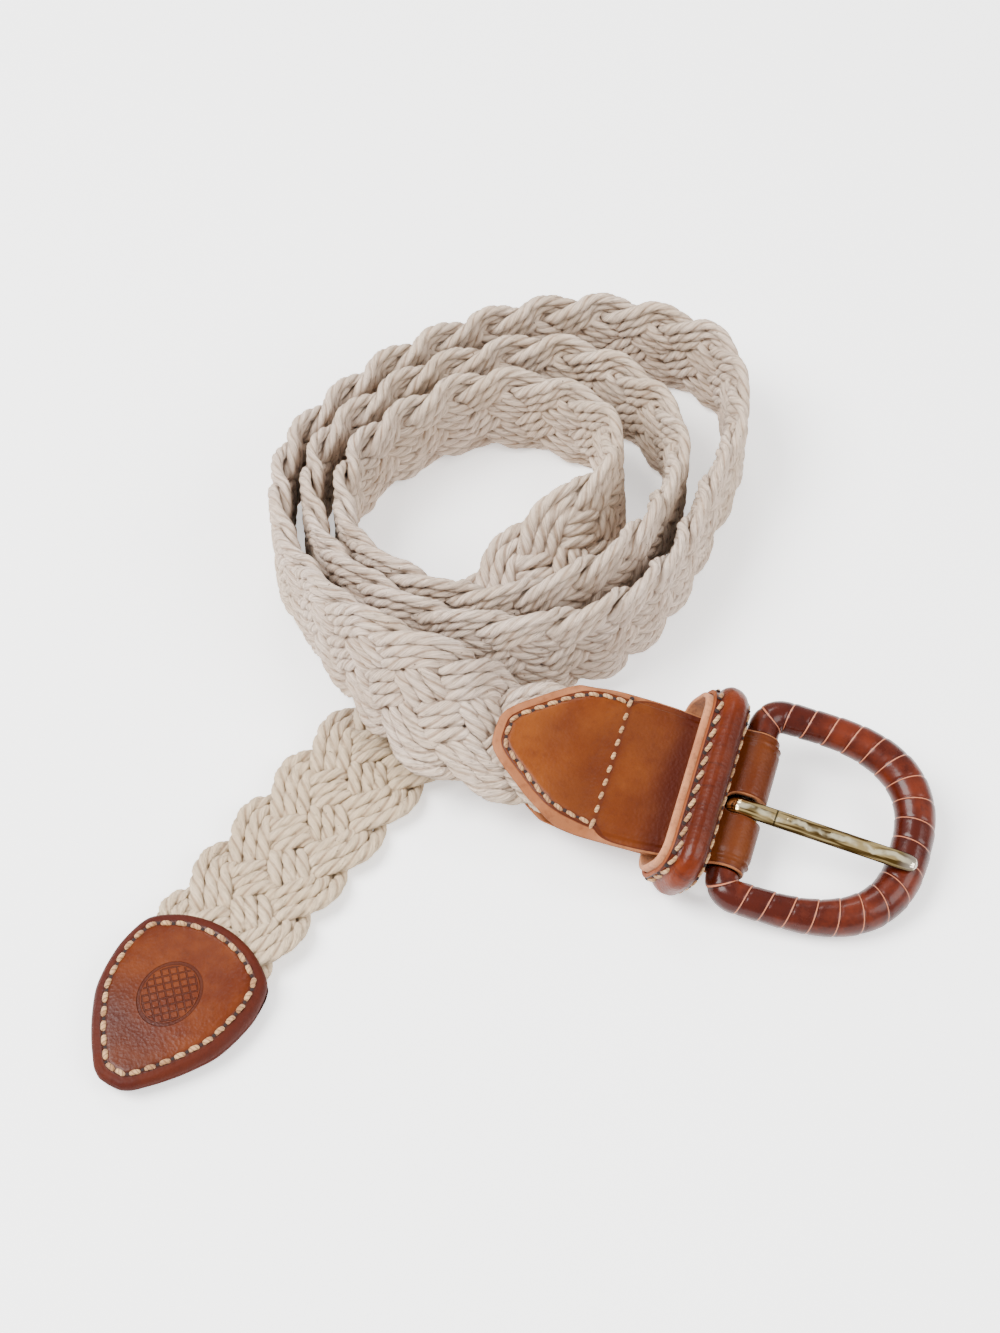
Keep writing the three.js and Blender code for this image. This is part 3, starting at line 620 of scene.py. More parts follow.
def wound_leather():
    """A narrow strip wound round the frame. The map's first value counts the windings."""
    material, shader, start = finish_of("wound_leather", Specular_IOR_Level=0.15, Coat_Roughness=0.14,
                                        Coat_IOR=1.35)
    where = own_place(start)
    windings = flat_map(start)[0]
    part = windings.fraction()
    cut = part.between(0.03, 0.045) * (1.0 - part.between(0.075, 0.1))
    shadow = 1.0 - part.between(0.0, 0.05)
    cloud = start.noise(where, 80.0, 5.0, 0.6)
    drawn = start.noise(where, 340.0, 5.0, 0.65)
    fine = start.noise(where, 600.0, 4.0, 0.6)
    tone = cloud.between(0.4, 0.68).colours(rgb(55, 12, 3), rgb(84, 27, 6))
    tone = (drawn.between(0.5, 0.72) * 0.5).colours(tone, rgb(34, 6, 3))
    tone = ((1.0 - part.between(0.1, 0.45)) * 0.3).colours(tone, rgb(40, 8, 4))
    tone = (shadow * 0.8).colours(tone, rgb(24, 5, 3))
    tone = cut.colours(tone, rgb(170, 104, 76))
    paint(shader, tone, "Base Color")
    paint(shader, cloud.between(0.3, 0.7, 0.22, 0.38) + cut * 0.4, "Roughness")
    paint(shader, (1.0 - cut) * 0.2, "Coat Weight")
    relief(shader, fine + drawn, 0.00012, 0.6)
    return material


def brass():
    """Polished antique brass with painted reflections: dark streaks, dark sides and a bright highlight."""
    material, shader, start = finish_of("antique_brass", Metallic=1.0)
    where = own_place(start)
    along, around = flat_map(start)
    reflection_streak = start.noise(stretched(start, along * 0.8, around * 13.0), 1.0, 2.0, 0.5)
    sway = start.noise(stretched(start, along * 1.7, 0.0), 1.0, 2.0, 0.5)
    cloud = start.noise(where, 150.0, 3.0, 0.6)
    scratch = start.noise(where, 1400.0, 3.0, 0.7)
    side = abs(around - 0.25).between(0.125, 0.2)
    highlight_line = 1.0 - abs(around - 0.25 - (sway - 0.5) * 0.3).between(0.015, 0.06)
    # Painted dark reflections in long streaks along the bar.
    tone = reflection_streak.between(0.4, 0.58).colours(rgb(190, 166, 116), rgb(84, 62, 28))
    # Painted highlight: a bright wavy line along the top.
    tone = (highlight_line * cloud.between(0.36, 0.56) * 0.85).colours(tone, rgb(250, 238, 200))
    tone = (along.between(3.9, 4.3) * 0.6).colours(tone, rgb(196, 186, 172))
    # Painted dark reflections along the two sides.
    tone = (side * 0.9).colours(tone, rgb(46, 32, 11))
    joint = 1.0 - abs(along - 0.82).between(0.01, 0.035)
    tone = (joint * 0.9).colours(tone, rgb(44, 32, 12))
    paint(shader, tone, "Base Color")
    paint(shader, scratch.between(0.3, 0.8, 0.09, 0.2), "Roughness")
    relief(shader, reflection_streak * 0.5 + highlight_line * 0.4 + scratch * 0.03, 0.0004, 0.5)
    return material


def steel():
    """Plain wire, a little tarnished."""
    material, shader, start = finish_of("bar_steel", Metallic=1.0)
    cloud = start.noise(own_place(start), 160.0, 4.0, 0.6)
    paint(shader, cloud.between(0.4, 0.7).colours(rgb(150, 140, 126), rgb(84, 74, 64)), "Base Color")
    paint(shader, cloud.between(0.3, 0.8, 0.3, 0.45), "Roughness")
    relief(shader, cloud, 0.0001, 0.5)
    return material


cord_finish = cotton()
tan_finish = leather("tan_leather", rgb(118, 60, 9), rgb(97, 43, 4), rgb(58, 17, 2),
                     rgb(142, 90, 58), rim=2.2, groove=3.3, grain=1.5)
tip_finish = leather("tip_leather", rgb(99, 44, 7), rgb(78, 28, 4), rgb(44, 9, 2),
                     rgb(58, 16, 7), rim=2.3, groove=3.2, gloss=0.3, grain=1.9, tooled=True)
cover_finish = leather("padded_leather", rgb(112, 44, 9), rgb(91, 30, 6), rgb(46, 10, 2),
                       rgb(122, 66, 36), rim=0.3, groove=1.6, gloss=0.28, grain=1.4, streaks=0.6)
hide_finish = raw_hide()
wound_finish = wound_leather()
thread_finish = thread()
hole_shade_finish = hole_shade()
brass_finish = brass()
steel_finish = steel()
print(len(bpy.data.materials), "finishes")

# %% [markdown]
# ## The plait
# Five bundles of three cords run in a flat plait: each bundle crosses from edge to edge and back in
# five scallops, over one and under one. The cords are twisted from three plies. They are laid out
# on a straight, flat strap first, and then bent along the route with the strap.

# %% Bundles of cord
CORD_RADIUS = 1.62
CORD_SPREAD = 1.23
CORD_SPACING = 3.28
PLY_TURN = 14.5
PLY_DEPTH = 0.25
PERIOD = 5 * STRAP["pitch"]
EDGE_ROUND = 0.93
FLATNESS = 2.4
CROSSINGS = [0, 0.3, 0.435, 0.5, 0.8, 0.935, 1], [0, 3, 3.5, 4, 7, 7.5, 8]
LIFT = STRAP["thickness"] / 2 - CORD_RADIUS
REACH = STRAP["width"] / 2 - CORD_SPACING - 1.08 * CORD_RADIUS


def wander(length, size, spacing, seed):
    """A smooth line of small random values along the strap."""
    knots = np.arange(-spacing, length + 2 * spacing, spacing)
    return steady(knots, np.random.default_rng(seed).normal(0, size, len(knots)))


def bundle_line(s, share):
    """Across and over values of a bundle's middle, with φ = s / period + share:
    a = R asin(b cos 2πφ) / asin b and o = -L tanh(f cos πh) / tanh f, where h counts the crossings.
    So a bundle comes to the edge on top and leaves it below."""
    phase = s / PERIOD + share
    a = REACH * np.arcsin(EDGE_ROUND * np.cos(2 * np.pi * phase)) / math.asin(EDGE_ROUND)
    halves = np.interp((phase - 0.1) % 1, *CROSSINGS)
    over = -LIFT * np.tanh(FLATNESS * np.cos(np.pi * halves)) / math.tanh(FLATNESS)
    return a, over


def on_strap(flat):
    """Bends points (s, a, o) of the flat strap along the route: M(s) + a w(s) A(s) + o t(s) O(s)."""
    s = np.clip(flat[..., 0], 0, route["length"])
    at = {k: sampled(s, route["s"], route[k]) for k in ("middle", "along", "across", "out")}
    wide, thick = (np.interp(s, route["s"], route[k])[..., None] for k in ("wide", "thick"))
    spare = (flat[..., 0] - s)[..., None]
    return (at["middle"] + spare * at["along"] + flat[..., 1:2] * wide * at["across"]
            + flat[..., 2:3] * thick * at["out"])


def cord(share, place, seed):
    """One cord of a bundle, place -1, 0 or 1 beside the others. Its section is three plies,
    r = R (1 - d (1 - |cos 1.5θ|^0.7)), turned left-handed on the way and pressed a little wide."""
    length = route["length"]
    t = np.linspace(0.6, length - 0.6, 1330)
    a, over = bundle_line(t, share)
    slope = np.gradient(a, t)
    norm = np.sqrt(1 + slope ** 2)
    aside = CORD_SPACING * place + wander(length, 0.13, 13, seed)(t)
    over = over + wander(length, 0.12, 9, seed + 1)(t)
    line = np.stack([t - aside * slope / norm, a + aside / norm, over], 1)
    way = unit(np.gradient(line, axis=0))
    up = unit(np.array([0, 0, 1.0]) - way[:, 2:] * way)
    side = np.cross(way, up)
    reached = run(line)
    sides = 12
    theta = 2 * np.pi * np.arange(sides) / sides
    radius = CORD_RADIUS * (1 + wander(length, 0.03, 11, seed + 2)(t))
    turn = theta[None] + (2 * np.pi * reached / PLY_TURN + seed)[:, None]
    lobes = 1 - PLY_DEPTH * (1 - np.abs(np.cos(1.5 * theta)) ** 0.7)
    r = radius[:, None] * lobes[None]
    aside, above = CORD_SPREAD * r * np.cos(turn), r * np.sin(turn)
    grid = line[:, None] + aside[..., None] * side[:, None] + above[..., None] * up[:, None]
    low = STRAP["thickness"] / 2
    grid[..., 2] = np.clip(grid[..., 2], -low, low)
    return skin(on_strap(grid), along=reached / 3 + seed, around=np.linspace(0, 1, sides + 1) + 1 / 6)


def bundle(k):
    """Three cords side by side."""
    return together([cord(k / 5, place, 10 * k + place + 1) for place in (-1, 0, 1)])


for k in range(5):
    shape = bundle(k)
    own = shape["points"]
    tail = 1 - smoothstep(own[:, 1], -20, 8)
    tail *= 1 - smoothstep(own[:, 2], 7, 14)
    make(f"cord_bundle_{k + 1}", shape, cord_finish, "belt", ["braid_strap"], {"tail": tail})

# %% [markdown]
# ## Leather plies
# The tip is two plies sewn round the strap's end, and the buckle leather is one strip folded round
# the bar. Both are strips of even thickness with rounded cut edges, so one surface serves them all: a
# middle line, a half width along it, and an outline that everything else keeps its distance from.

# %% A strip of leather with rounded edges


def far_from(points, outline):
    """Distance of each point (x, y) from a line of points: min |p - q|."""
    gaps = np.empty(len(points))
    for part in np.array_split(np.arange(len(points)), max(1, len(points) // 2000)):
        gaps[part] = np.sqrt(((points[part, None] - outline[None]) ** 2).sum(-1)).min(1)
    return gaps


def outlined(x, half):
    """The closed outline (x, ±half)."""
    return np.vstack([np.stack([x, half], 1), np.stack([x, -half], 1)[::-1]])


def bordered(x, half):
    """The same outline with its sides split in four."""
    outline = outlined(x, half)
    share = np.arange(4)[:, None] / 4
    onward = np.roll(outline, -1, 0) - outline
    return (outline[:, None] + share * onward[:, None]).reshape(-1, 2)


PLY_COLUMNS = 61
SUNK = 0.3


def strip(line, normal, half, x, hide, rim, groove, pared, dome, edge=0.75, root=0.42, aside=0.0):
    """A ply of thickness hide: p = line(x) + (v half(x) + aside) y + h normal(x). With d the distance
    from the outline, the cut edge is round, h between root (1-c) and root + (face-root) c with
    c = sqrt(1 - (1-d/edge)^2), and face is pared towards the outline and pressed in at the groove."""
    y = half[:, None] * np.sin(np.linspace(-1, 1, PLY_COLUMNS) * np.pi / 2)
    places = np.stack([np.repeat(x, PLY_COLUMNS), y.ravel()], 1)
    d = far_from(places, bordered(x, half)).reshape(y.shape)
    part = np.sqrt(1 - (1 - np.clip(d / edge, 0, 1)) ** 2)
    face = hide * (1 - pared * (1 - smoothstep(d, rim - 0.3, rim + 0.3)))
    face = face - 0.4 * np.exp(-((d - groove) / 0.55) ** 2)
    middle = hide * root
    at = line[:, None] + (y + np.reshape(aside, (-1, 1)))[..., None] * np.array([0, 1.0, 0])
    front = at + (dome + middle + (face - middle) * part)[..., None] * normal[:, None]
    back = at + (dome + middle * (1 - part))[..., None] * normal[:, None]
    grid = np.concatenate([front, back[:, ::-1]], 1)
    own = np.stack([np.repeat(x[:, None], PLY_COLUMNS, 1), y], -1) / 10
    shape = skin(grid, flat=np.concatenate([own, own[:, ::-1]], 1))
    return shape, dict(inset=np.concatenate([d, d[:, ::-1]], 1).ravel())


def sewn(path, normal, pitch, size, slant):
    """Stitches of size (length, width) along a path, each turned by slant, and the holes at their
    ends: capsules of radius w/2 sqrt(1 - |t|^5), arched by w (0.42 - 0.75 t^2) and sunk a little."""
    reached = run(path)
    count = max(1, int(reached[-1] // pitch))
    middles = (np.arange(count) + 0.5) * reached[-1] / count
    length, width = size
    sunk = 0.15 * width
    sides, rings = 8, 9
    t = np.linspace(-1, 1, rings)
    stretch = length / 2 * t
    r = width / 2 * np.sqrt(np.maximum(1 - np.abs(t) ** 5, 0.02))
    theta = 2 * np.pi * np.arange(sides) / sides
    cos, sin = np.cos(theta)[None, :, None], np.sin(theta)[None, :, None]
    globe = np.linspace(0, np.pi, 7)[:, None, None]
    stitches, holes = [], []
    for m in middles:
        at, ahead, behind = sampled(np.array([m, m + 0.3, m - 0.3]), reached, path)
        up = unit(sampled(m, reached, normal))
        way = unit(ahead - behind)
        side = np.cross(way, up)
        way = unit(way * math.cos(slant) + side * math.sin(slant))
        side = np.cross(way, up)
        arch = width * (0.42 - 0.75 * t ** 2) - sunk
        line = at + stretch[:, None] * way + arch[:, None] * up
        ring = r[:, None, None] * (cos * side * 1.15 + sin * up)
        stitches.append(skin(line[:, None] + ring, along=stretch + m))
        # A needle hole: a small dark ball sunk at the stitch's end, coloured as painted shade.
        end = at + (length / 2 + 0.14) * way - 0.1 * up
        ball = np.cos(globe) * 0.28 * up + np.sin(globe) * (cos * side * 0.62 + sin * way * 0.66)
        holes.append(skin(end + ball[1:-1]))
    return together(stitches), together(holes)


def stitched(name, seams):
    """Makes the stitches and the needle holes of a piece's seams, each a pair from sewn()."""
    thread_skins, hole_skins = zip(*seams)
    make(f"{name}_stitches", together(thread_skins), thread_finish, "belt")
    make(f"{name}_needle_hole_shade", together(hole_skins), hole_shade_finish, "belt")


# %% [markdown]
# ## The leather tip
# Two plies of tan leather over the strap's end, sewn together all round 3 mm inside their edge. The
# middle stands up over the plait. A plain diamond tooling takes the place of a stamp.

# %% Tip plies
SEAM_GAP = 0.02
TIP_RIM, TIP_GROOVE = 2.3, 3.2
# Each row: share of the length from the point, share of the half width, the dome's half width, fill.
TIP_ROWS = np.array([
    (0, 0.0, 0.0, 0), (0.004, 0.13, 0.13, 0), (0.03, 0.26, 0.26, 0.06), (0.09, 0.4, 0.4, 0.15),
    (0.17, 0.56, 0.56, 0.3), (0.28, 0.74, 0.74, 0.52), (0.42, 0.91, 0.91, 0.8),
    (0.56, 0.98, 0.98, 0.96), (0.66, 1, 1, 1), (0.77, 0.97, 0.98, 1), (0.85, 0.9, 0.96, 1),
    (0.92, 0.68, 0.95, 1), (0.97, 0.42, 0.95, 1), (0.996, 0.14, 0.95, 1), (1, 0.0, 0.95, 1),
])


def tip_lines(fine):
    """The table's x, half width, dome's half width and fill in millimetres at rows fine."""
    index = np.arange(len(TIP_ROWS))
    along, half, wide, fill = (steady(index, TIP_ROWS[:, c])(fine) for c in range(4))
    x = TIP["bury"] - TIP["length"] * (1 - along)
    return x, half * TIP["width"] / 2, np.maximum(wide * TIP["width"] / 2, 0.1), fill


def tip_height(y, wide, fill):
    """Underside of a ply: gap + (f + s/2) fill sqrt(1 - |y/wide|^4)."""
    rise = np.sqrt(np.maximum(1 - np.abs(y / wide) ** 4, 0))
    return SEAM_GAP + (TIP["fill"] + SEAT / 2) * fill * rise


def tip_ply(side):
    """Upper (1) or lower (-1) ply over the strap's end."""
    last = len(TIP_ROWS) - 1
    fine = np.concatenate([np.linspace(0, 1, 7)[:-1], np.linspace(1, last - 1, 118),
                           np.linspace(last - 1, last, 7)[1:]])
    x, half, wide, fill = tip_lines(fine)
    line = np.stack([x, 0 * x, 0 * x], 1)
    normal = np.tile([0, 0, float(side)], (len(x), 1))
    y = half[:, None] * np.sin(np.linspace(-1, 1, PLY_COLUMNS) * np.pi / 2)
    shape, marks = strip(line, normal, half, x, TIP["leather"], TIP_RIM, TIP_GROOVE, pared=0.1, edge=1.5,
                         root=0.0, dome=tip_height(y, wide[:, None], fill[:, None]))
    shape["points"] = tip_place.put(shape["points"])
    return shape, marks


for name, side in (("tip_face", 1), ("tip_underside", -1)):
    shape, marks = tip_ply(side)
    node = "tip_front" if side > 0 else "tip_back"
    make(name, shape, tip_finish, "belt", [node], marks)

# %% Stitches round the tip


def inset_line(x, half, inset):
    """The outline (x, ±half) moved inward: q = p - inset n, kept where it stays that far inside."""
    outline = outlined(x, half)
    outline = outline[np.concatenate([[True], np.linalg.norm(np.diff(outline, axis=0), axis=1) > 1e-4])]
    way = unit(np.roll(outline, -1, 0) - np.roll(outline, 1, 0))
    inner = outline - inset * np.stack([-way[:, 1], way[:, 0]], 1)
    return inner[far_from(inner, bordered(x, half)) > inset - 0.12]


def tip_seam():
    """The groove's line all round the tip, SUNK below the ply's face, and its outward directions."""
    x, half, wide, fill = tip_lines(np.linspace(0, len(TIP_ROWS) - 1, 240))
    path = inset_line(x, half, TIP_GROOVE)
    path = np.vstack([path, path[:1]])
    z = tip_height(path[:, 1], np.interp(path[:, 0], x, wide), np.interp(path[:, 0], x, fill))
    out = tip_place.put(np.column_stack([path, z + TIP["leather"] - SUNK]))
    return out, np.tile(tip_place.axes[:, 2], (len(path), 1))


stitched("tip", [sewn(*tip_seam(), pitch=3.6, size=(3.2, 1.15), slant=0.1)])

# %% [markdown]
# ## The buckle leather
# One strip folded round the heel bar with a slot for the prong. It opens round the plait at its
# shield, is sewn through there, and lies close together under the keeper.

# %% Folded strip
BACK_PLY_ASIDE = 0.8
SEAM_SHARE = 0.53
SHIELD_RIM, SHIELD_GROOVE = 2.2, 3.3
RIM_FADE = (32, 40)
EDGE_CLOSING = (17.3, 19.6)
# Where the painted shadow of the keeper, over leather that is also stained, rises and falls.
KEEPER_SHADOW_AND_STAIN = dict(rise=(6, 11), fall=(11, 18))
# Each row: share of the length from the bar, share of the half width, how far the plies are open.
CHAPE_ROWS = np.array([
    (1, 0, 1.14), (0.9985, 0.13, 1.14), (0.986, 0.25, 1.14), (0.955, 0.37, 1.12), (0.87, 0.59, 1.06),
    (0.785, 0.79, 1), (0.71, 0.92, 0.97), (0.63, 0.98, 0.84), (0.55, 1, 0.5), (0.46, 1, 0.2),
    (0.36, 0.99, 0.1), (0.22, 0.95, 0.1),
])


def chape_ply():
    """Middle line of one ply from the point to the fold: x, height, half width, all smooth."""
    index = np.arange(len(CHAPE_ROWS))
    fine = np.concatenate([np.linspace(0, 1, 7)[:-1], np.linspace(1, len(index) - 1, 96)])
    along, half, opened = (steady(index, CHAPE_ROWS[:, c])(fine) for c in range(3))
    x = -along * CHAPE["reach"]
    z = opened * STRAP["thickness"] / 2 + SEAT
    return x, z, half * CHAPE["width"] / 2


def chape_line():
    """Back ply, the fold round the bar, and front ply as one line with its half widths."""
    x, z, half = chape_ply()
    radius = BAR + CHAPE["slack"]
    tangent = math.pi / 2 + math.asin((radius - z[-1]) / -x[-1])
    a = np.linspace(-tangent, tangent, 40)
    fold = np.stack([radius * np.cos(a), 0 * a, radius * np.sin(a)], 1)
    gap = np.linspace(0, 1, 14)[1:-1, None]
    ply = np.stack([x, 0 * x, z], 1)
    lead = ply[-1] + gap * (fold[-1] - ply[-1])
    half_fold = CHAPE["fold"] * CHAPE["width"] / 2
    half_lead = half[-1] + smoothstep(gap[:, 0]) * (half_fold - half[-1])
    upper = np.vstack([ply, lead])
    upper_half = np.concatenate([half, half_lead])
    lower = upper * [1, 1, -1]
    line = np.vstack([lower, fold, upper[::-1]])
    return line, np.concatenate([upper_half, np.full(len(fold), half_fold), upper_half[::-1]])


def normals_of(line):
    """Outward normals of a line in x and z: n = (w_z, 0, -w_x) for its direction w."""
    way = unit(np.gradient(line, axis=0))
    return np.stack([way[:, 2], 0 * way[:, 0], -way[:, 0]], 1)


def chape_shape():
    """The strip carried along its line. Its edges close on each other by 0.9 of what they are open,
    and away from the shield the inset mark grows faster, so that the pale rim thins to an edge."""
    line, half = chape_line()
    flat_at = run(line)
    from_fold = flat_at - flat_at[-1] / 2
    away = np.abs(from_fold)
    y = np.abs(half[:, None] * np.sin(np.linspace(-1, 1, PLY_COLUMNS) * np.pi / 2))
    open_by = np.maximum(np.abs(line[:, 2]) - 0.45, 0) * smoothstep(away, 8, 14)
    closed = -0.9 * open_by[:, None] * smoothstep(y, *EDGE_CLOSING)
    shape, marks = strip(line, normals_of(line), half, flat_at, CHAPE["leather"], SHIELD_RIM,
                         SHIELD_GROOVE, pared=0.4, dome=closed,
                         aside=BACK_PLY_ASIDE * smoothstep(-from_fold, 12, 34))
    shape["points"] = bar_place.put(shape["points"])
    # Beside the keeper: a painted shadow of the keeper over leather that is also stained there.
    from_keeper = from_fold - KEEPER["distance"]
    keeper_shadow_and_stain = smoothstep(from_keeper, *KEEPER_SHADOW_AND_STAIN["rise"]) * (1 - smoothstep(from_keeper, *KEEPER_SHADOW_AND_STAIN["fall"]))
    front = from_fold > 8
    seam = np.interp(SEAM_SHARE * CHAPE["reach"], -line[front, 0], from_fold[front])
    sides = shape["sides"]
    marks["inset"] *= np.repeat(1 + 3.9 * (1 - smoothstep(away, *RIM_FADE)), sides)
    marks["shadow_and_stain"] = np.repeat(keeper_shadow_and_stain, sides)
    marks["press"] = np.repeat(np.exp(-((from_fold - seam) / 0.6) ** 2), sides)
    return shape, marks


def cut_slot(thing):
    """Cuts the prong's slot through the fold with a block: a half circle and two straight sides."""
    r = SLOT["width"] / 2
    end = BAR + CHAPE["slack"] + 2 * CHAPE["leather"]
    a = np.linspace(np.pi / 2, 1.5 * np.pi, 13)
    arc = np.stack([r - SLOT["reach"] + r * np.cos(a), r * np.sin(a)], 1)
    outline = np.vstack([[end, -r], [end, r], arc]) + [0, SLOT["offset"]]
    grid = np.stack([np.column_stack([outline, np.full(len(outline), z)]) for z in (-end, end)])
    block = make("slot_block", skin(bar_place.put(grid)), hole_shade_finish, "belt")
    cut = thing.modifiers.new("slot", "BOOLEAN")
    cut.operation, cut.solver, cut.object = "DIFFERENCE", "EXACT", block
    bpy.context.view_layer.update()
    done = thing.evaluated_get(bpy.context.evaluated_depsgraph_get())
    mesh = bpy.data.meshes.new_from_object(done)
    thing.modifiers.clear()
    thing.data = mesh
    bpy.data.objects.remove(block)


shape, marks = chape_shape()
chape = make("folded_leather", shape, tan_finish, "belt", ["chape"], marks)
cut_slot(chape)
print("folded leather with slot:", len(chape.data.polygons), "faces")

# %% Stitches of the shield


def chape_seams():
    """Two seams and their outward directions (-z', 0, 1): in the groove round the shield, taken in
    the order of their angle, and straight across behind it."""
    x, z, half = chape_ply()
    seam = -SEAM_SHARE * CHAPE["reach"]
    inner = inset_line(x, half, SHIELD_GROOVE)
    inner = inner[inner[:, 0] < seam]
    inner = inner[np.argsort(np.arctan2(inner[:, 1], -(inner[:, 0] - seam)))]
    width = np.abs(inner[:, 1]).max() + 1.6
    straight = np.stack([np.full(30, seam), np.linspace(-width, width, 30)], 1)
    for flat in (inner, straight):
        height = np.interp(flat[:, 0], x, z) + CHAPE["leather"] - SUNK
        slope = np.interp(flat[:, 0], x, np.gradient(z, x))
        normal = unit(np.stack([-slope, 0 * slope, np.ones(len(slope))], 1))
        yield bar_place.put(np.column_stack([flat, height])), normal @ bar_place.axes.T


stitched("shield", [sewn(*seam, pitch=3.5, size=(3.15, 0.95), slant=0.16)
                                   for seam in chape_seams()])

# %% [markdown]
# ## The keeper
# A loop of raw leather holds the folded strip. Its cover is a second piece laid over a filler cord,
# so it stands up in a ridge between two rows of stitches: slanted ones on the left, straight on the
# right.

# %% Keeper
LINING_LIP = 1.2


def keeper_loop(steps=10, flats=26):
    """The loop seen along the belt: y, z and the outward direction, from the right end of the
    underside over the front to the left end of the underside, evenly spaced on the flats."""
    side = KEEPER["inner"] / 2 - KEEPER["corner"]
    high, low = KEEPER["above"] - KEEPER["corner"], KEEPER["corner"] - KEEPER["below"]

    def corner(y, z, start):
        a = np.radians(start + np.linspace(0, 90, steps))
        out = np.stack([np.cos(a), np.sin(a)], 1)
        return np.column_stack([[y, z] + KEEPER["corner"] * out, out])

    parts = [corner(side, low, -90), corner(side, high, 0),
             corner(-side, high, 90), corner(-side, low, 180)]
    rows = [parts[0]]
    for before, after in zip(parts, parts[1:]):
        share = np.linspace(0, 1, flats)[1:-1, None]
        rows += [before[-1] + share * (after[0] - before[-1]), after]
    return np.vstack(rows)


def round_keeper(profile, loop, swell=None):
    """Sweeps a profile (x, h) round the loop: (x, y + h o_y, z + h o_z)."""
    x, h = profile[..., 0], profile[..., 1]
    if swell is not None:
        h = h[None] + swell
    else:
        h = np.tile(h, (len(loop), 1))
    return np.stack([np.tile(x, (len(loop), 1)), loop[:, 0, None] + h * loop[:, 2, None],
                     loop[:, 1, None] + h * loop[:, 3, None]], -1)


def keeper_lining():
    """A rectangle with rounded corners, wider on the left by the lip, swept round the closed loop."""
    half, r = KEEPER["band"] / 2, 0.35
    a = np.linspace(0, np.pi / 2, 5)
    arc = np.stack([np.cos(a), np.sin(a)], 1) * r
    t = KEEPER["leather"]
    left = half + LINING_LIP
    corners = [(half - r, t - r, 1, 1), (r - left, t - r, -1, 1),
               (r - left, r, -1, -1), (half - r, r, 1, -1)]
    profile = []
    for i, (x, h, sx, sh) in enumerate(corners):
        turn = arc if i % 2 == 0 else arc[::-1]
        profile.append(np.stack([x + sx * turn[:, 0], h + sh * turn[:, 1]], 1))
    profile = np.vstack(profile)
    loop = keeper_loop()
    first, last = loop[0], loop[-1]
    share = np.linspace(0, 1, 24)[1:-1, None]
    loop = np.vstack([loop, last + share * (first - last)])
    loop[:, 2:] = unit(loop[:, 2:])
    grid = round_keeper(profile, loop)
    inset = np.minimum(half - profile[:, 0], profile[:, 0] + left)
    return skin(keeper_place.put(grid), looped=True), dict(inset=np.tile(inset, len(loop)))


# Each row: place across the band from -1 to 1, share of the sheet's thickness, share of the ridge.
COVER = np.array([
    (-0.94, 0.0, 0), (-0.93, 0.7, 0), (-0.86, 1, 0), (-0.62, 0.9, 0), (-0.46, 1, 0.14), (-0.34, 1, 0.5),
    (-0.16, 1, 0.84), (0.08, 1, 1), (0.34, 1, 0.96), (0.58, 1, 0.76), (0.76, 1, 0.44), (0.86, 0.96, 0.1),
    (0.94, 1, 0), (0.99, 0.7, 0), (1, 0.0, 0),
])


def keeper_cover():
    """Profile h = base + edge sheet + padding ridge, the ridge fading on the underside."""
    index = np.arange(len(COVER))
    fine = np.linspace(0, len(COVER) - 1, 57)
    x, sheet, ridge = (steady(index, COVER[:, c])(fine) for c in range(3))
    base = KEEPER["leather"] + SEAT
    top = np.stack([x * KEEPER["band"] / 2, base + KEEPER["edge"] * sheet], 1)
    flat = np.stack([np.linspace(top[-1, 0], top[0, 0], 12)[1:-1], np.full(10, base)], 1)
    profile = np.vstack([top, flat])
    loop = keeper_loop()
    swell = np.zeros((len(loop), len(profile)))
    swell[:, :len(x)] = KEEPER["padding"] * smoothstep(loop[:, 3], -1, 0.2)[:, None] * ridge
    grid = round_keeper(profile, loop, swell)
    reached = run(loop[:, :2])
    inset = np.concatenate([np.minimum(x - x[0], x[-1] - x) * KEEPER["band"] / 2, np.zeros(10)])
    around = np.concatenate([[0], np.cumsum(np.linalg.norm(np.diff(profile, axis=0), axis=1))]) / 10
    shape = skin(keeper_place.put(grid), along=reached / 10, around=np.append(around, around[-1] + 0.1))
    return shape, dict(inset=np.tile(inset, len(loop)))


def keeper_seam(x, depth):
    """A line along the cover at x, with its outward directions."""
    loop = keeper_loop()[4:-4]
    h = KEEPER["leather"] + SEAT + KEEPER["edge"] * depth
    line = np.stack([np.full(len(loop), x * KEEPER["band"] / 2), loop[:, 0] + h * loop[:, 2],
                     loop[:, 1] + h * loop[:, 3]], 1)
    normal = np.stack([0 * loop[:, 2], loop[:, 2], loop[:, 3]], 1)
    return keeper_place.put(line), normal @ keeper_place.axes.T


shape, marks = keeper_lining()
make("keeper_loop", shape, hide_finish, "belt", ["keeper_lining"], marks)
shape, marks = keeper_cover()
make("keeper_ridge", shape, cover_finish, "belt", ["keeper_cover"], marks)
stitched("keeper", [
    sewn(*keeper_seam(-0.62, 0.95), pitch=3.7, size=(3.5, 0.95), slant=0.35),
    sewn(*keeper_seam(0.9, 1.0), pitch=3.7, size=(3.3, 0.7), slant=0.1),
])

# %% [markdown]
# ## The buckle
# A narrow strip of leather is wound round a bent frame, each turn lapping the last, so a pale cut
# edge shows at every lap. The prong is a flat bar of antique brass with rounded sides, curled round
# the heel bar.

# %% Wound frame
WINDING = 5.75


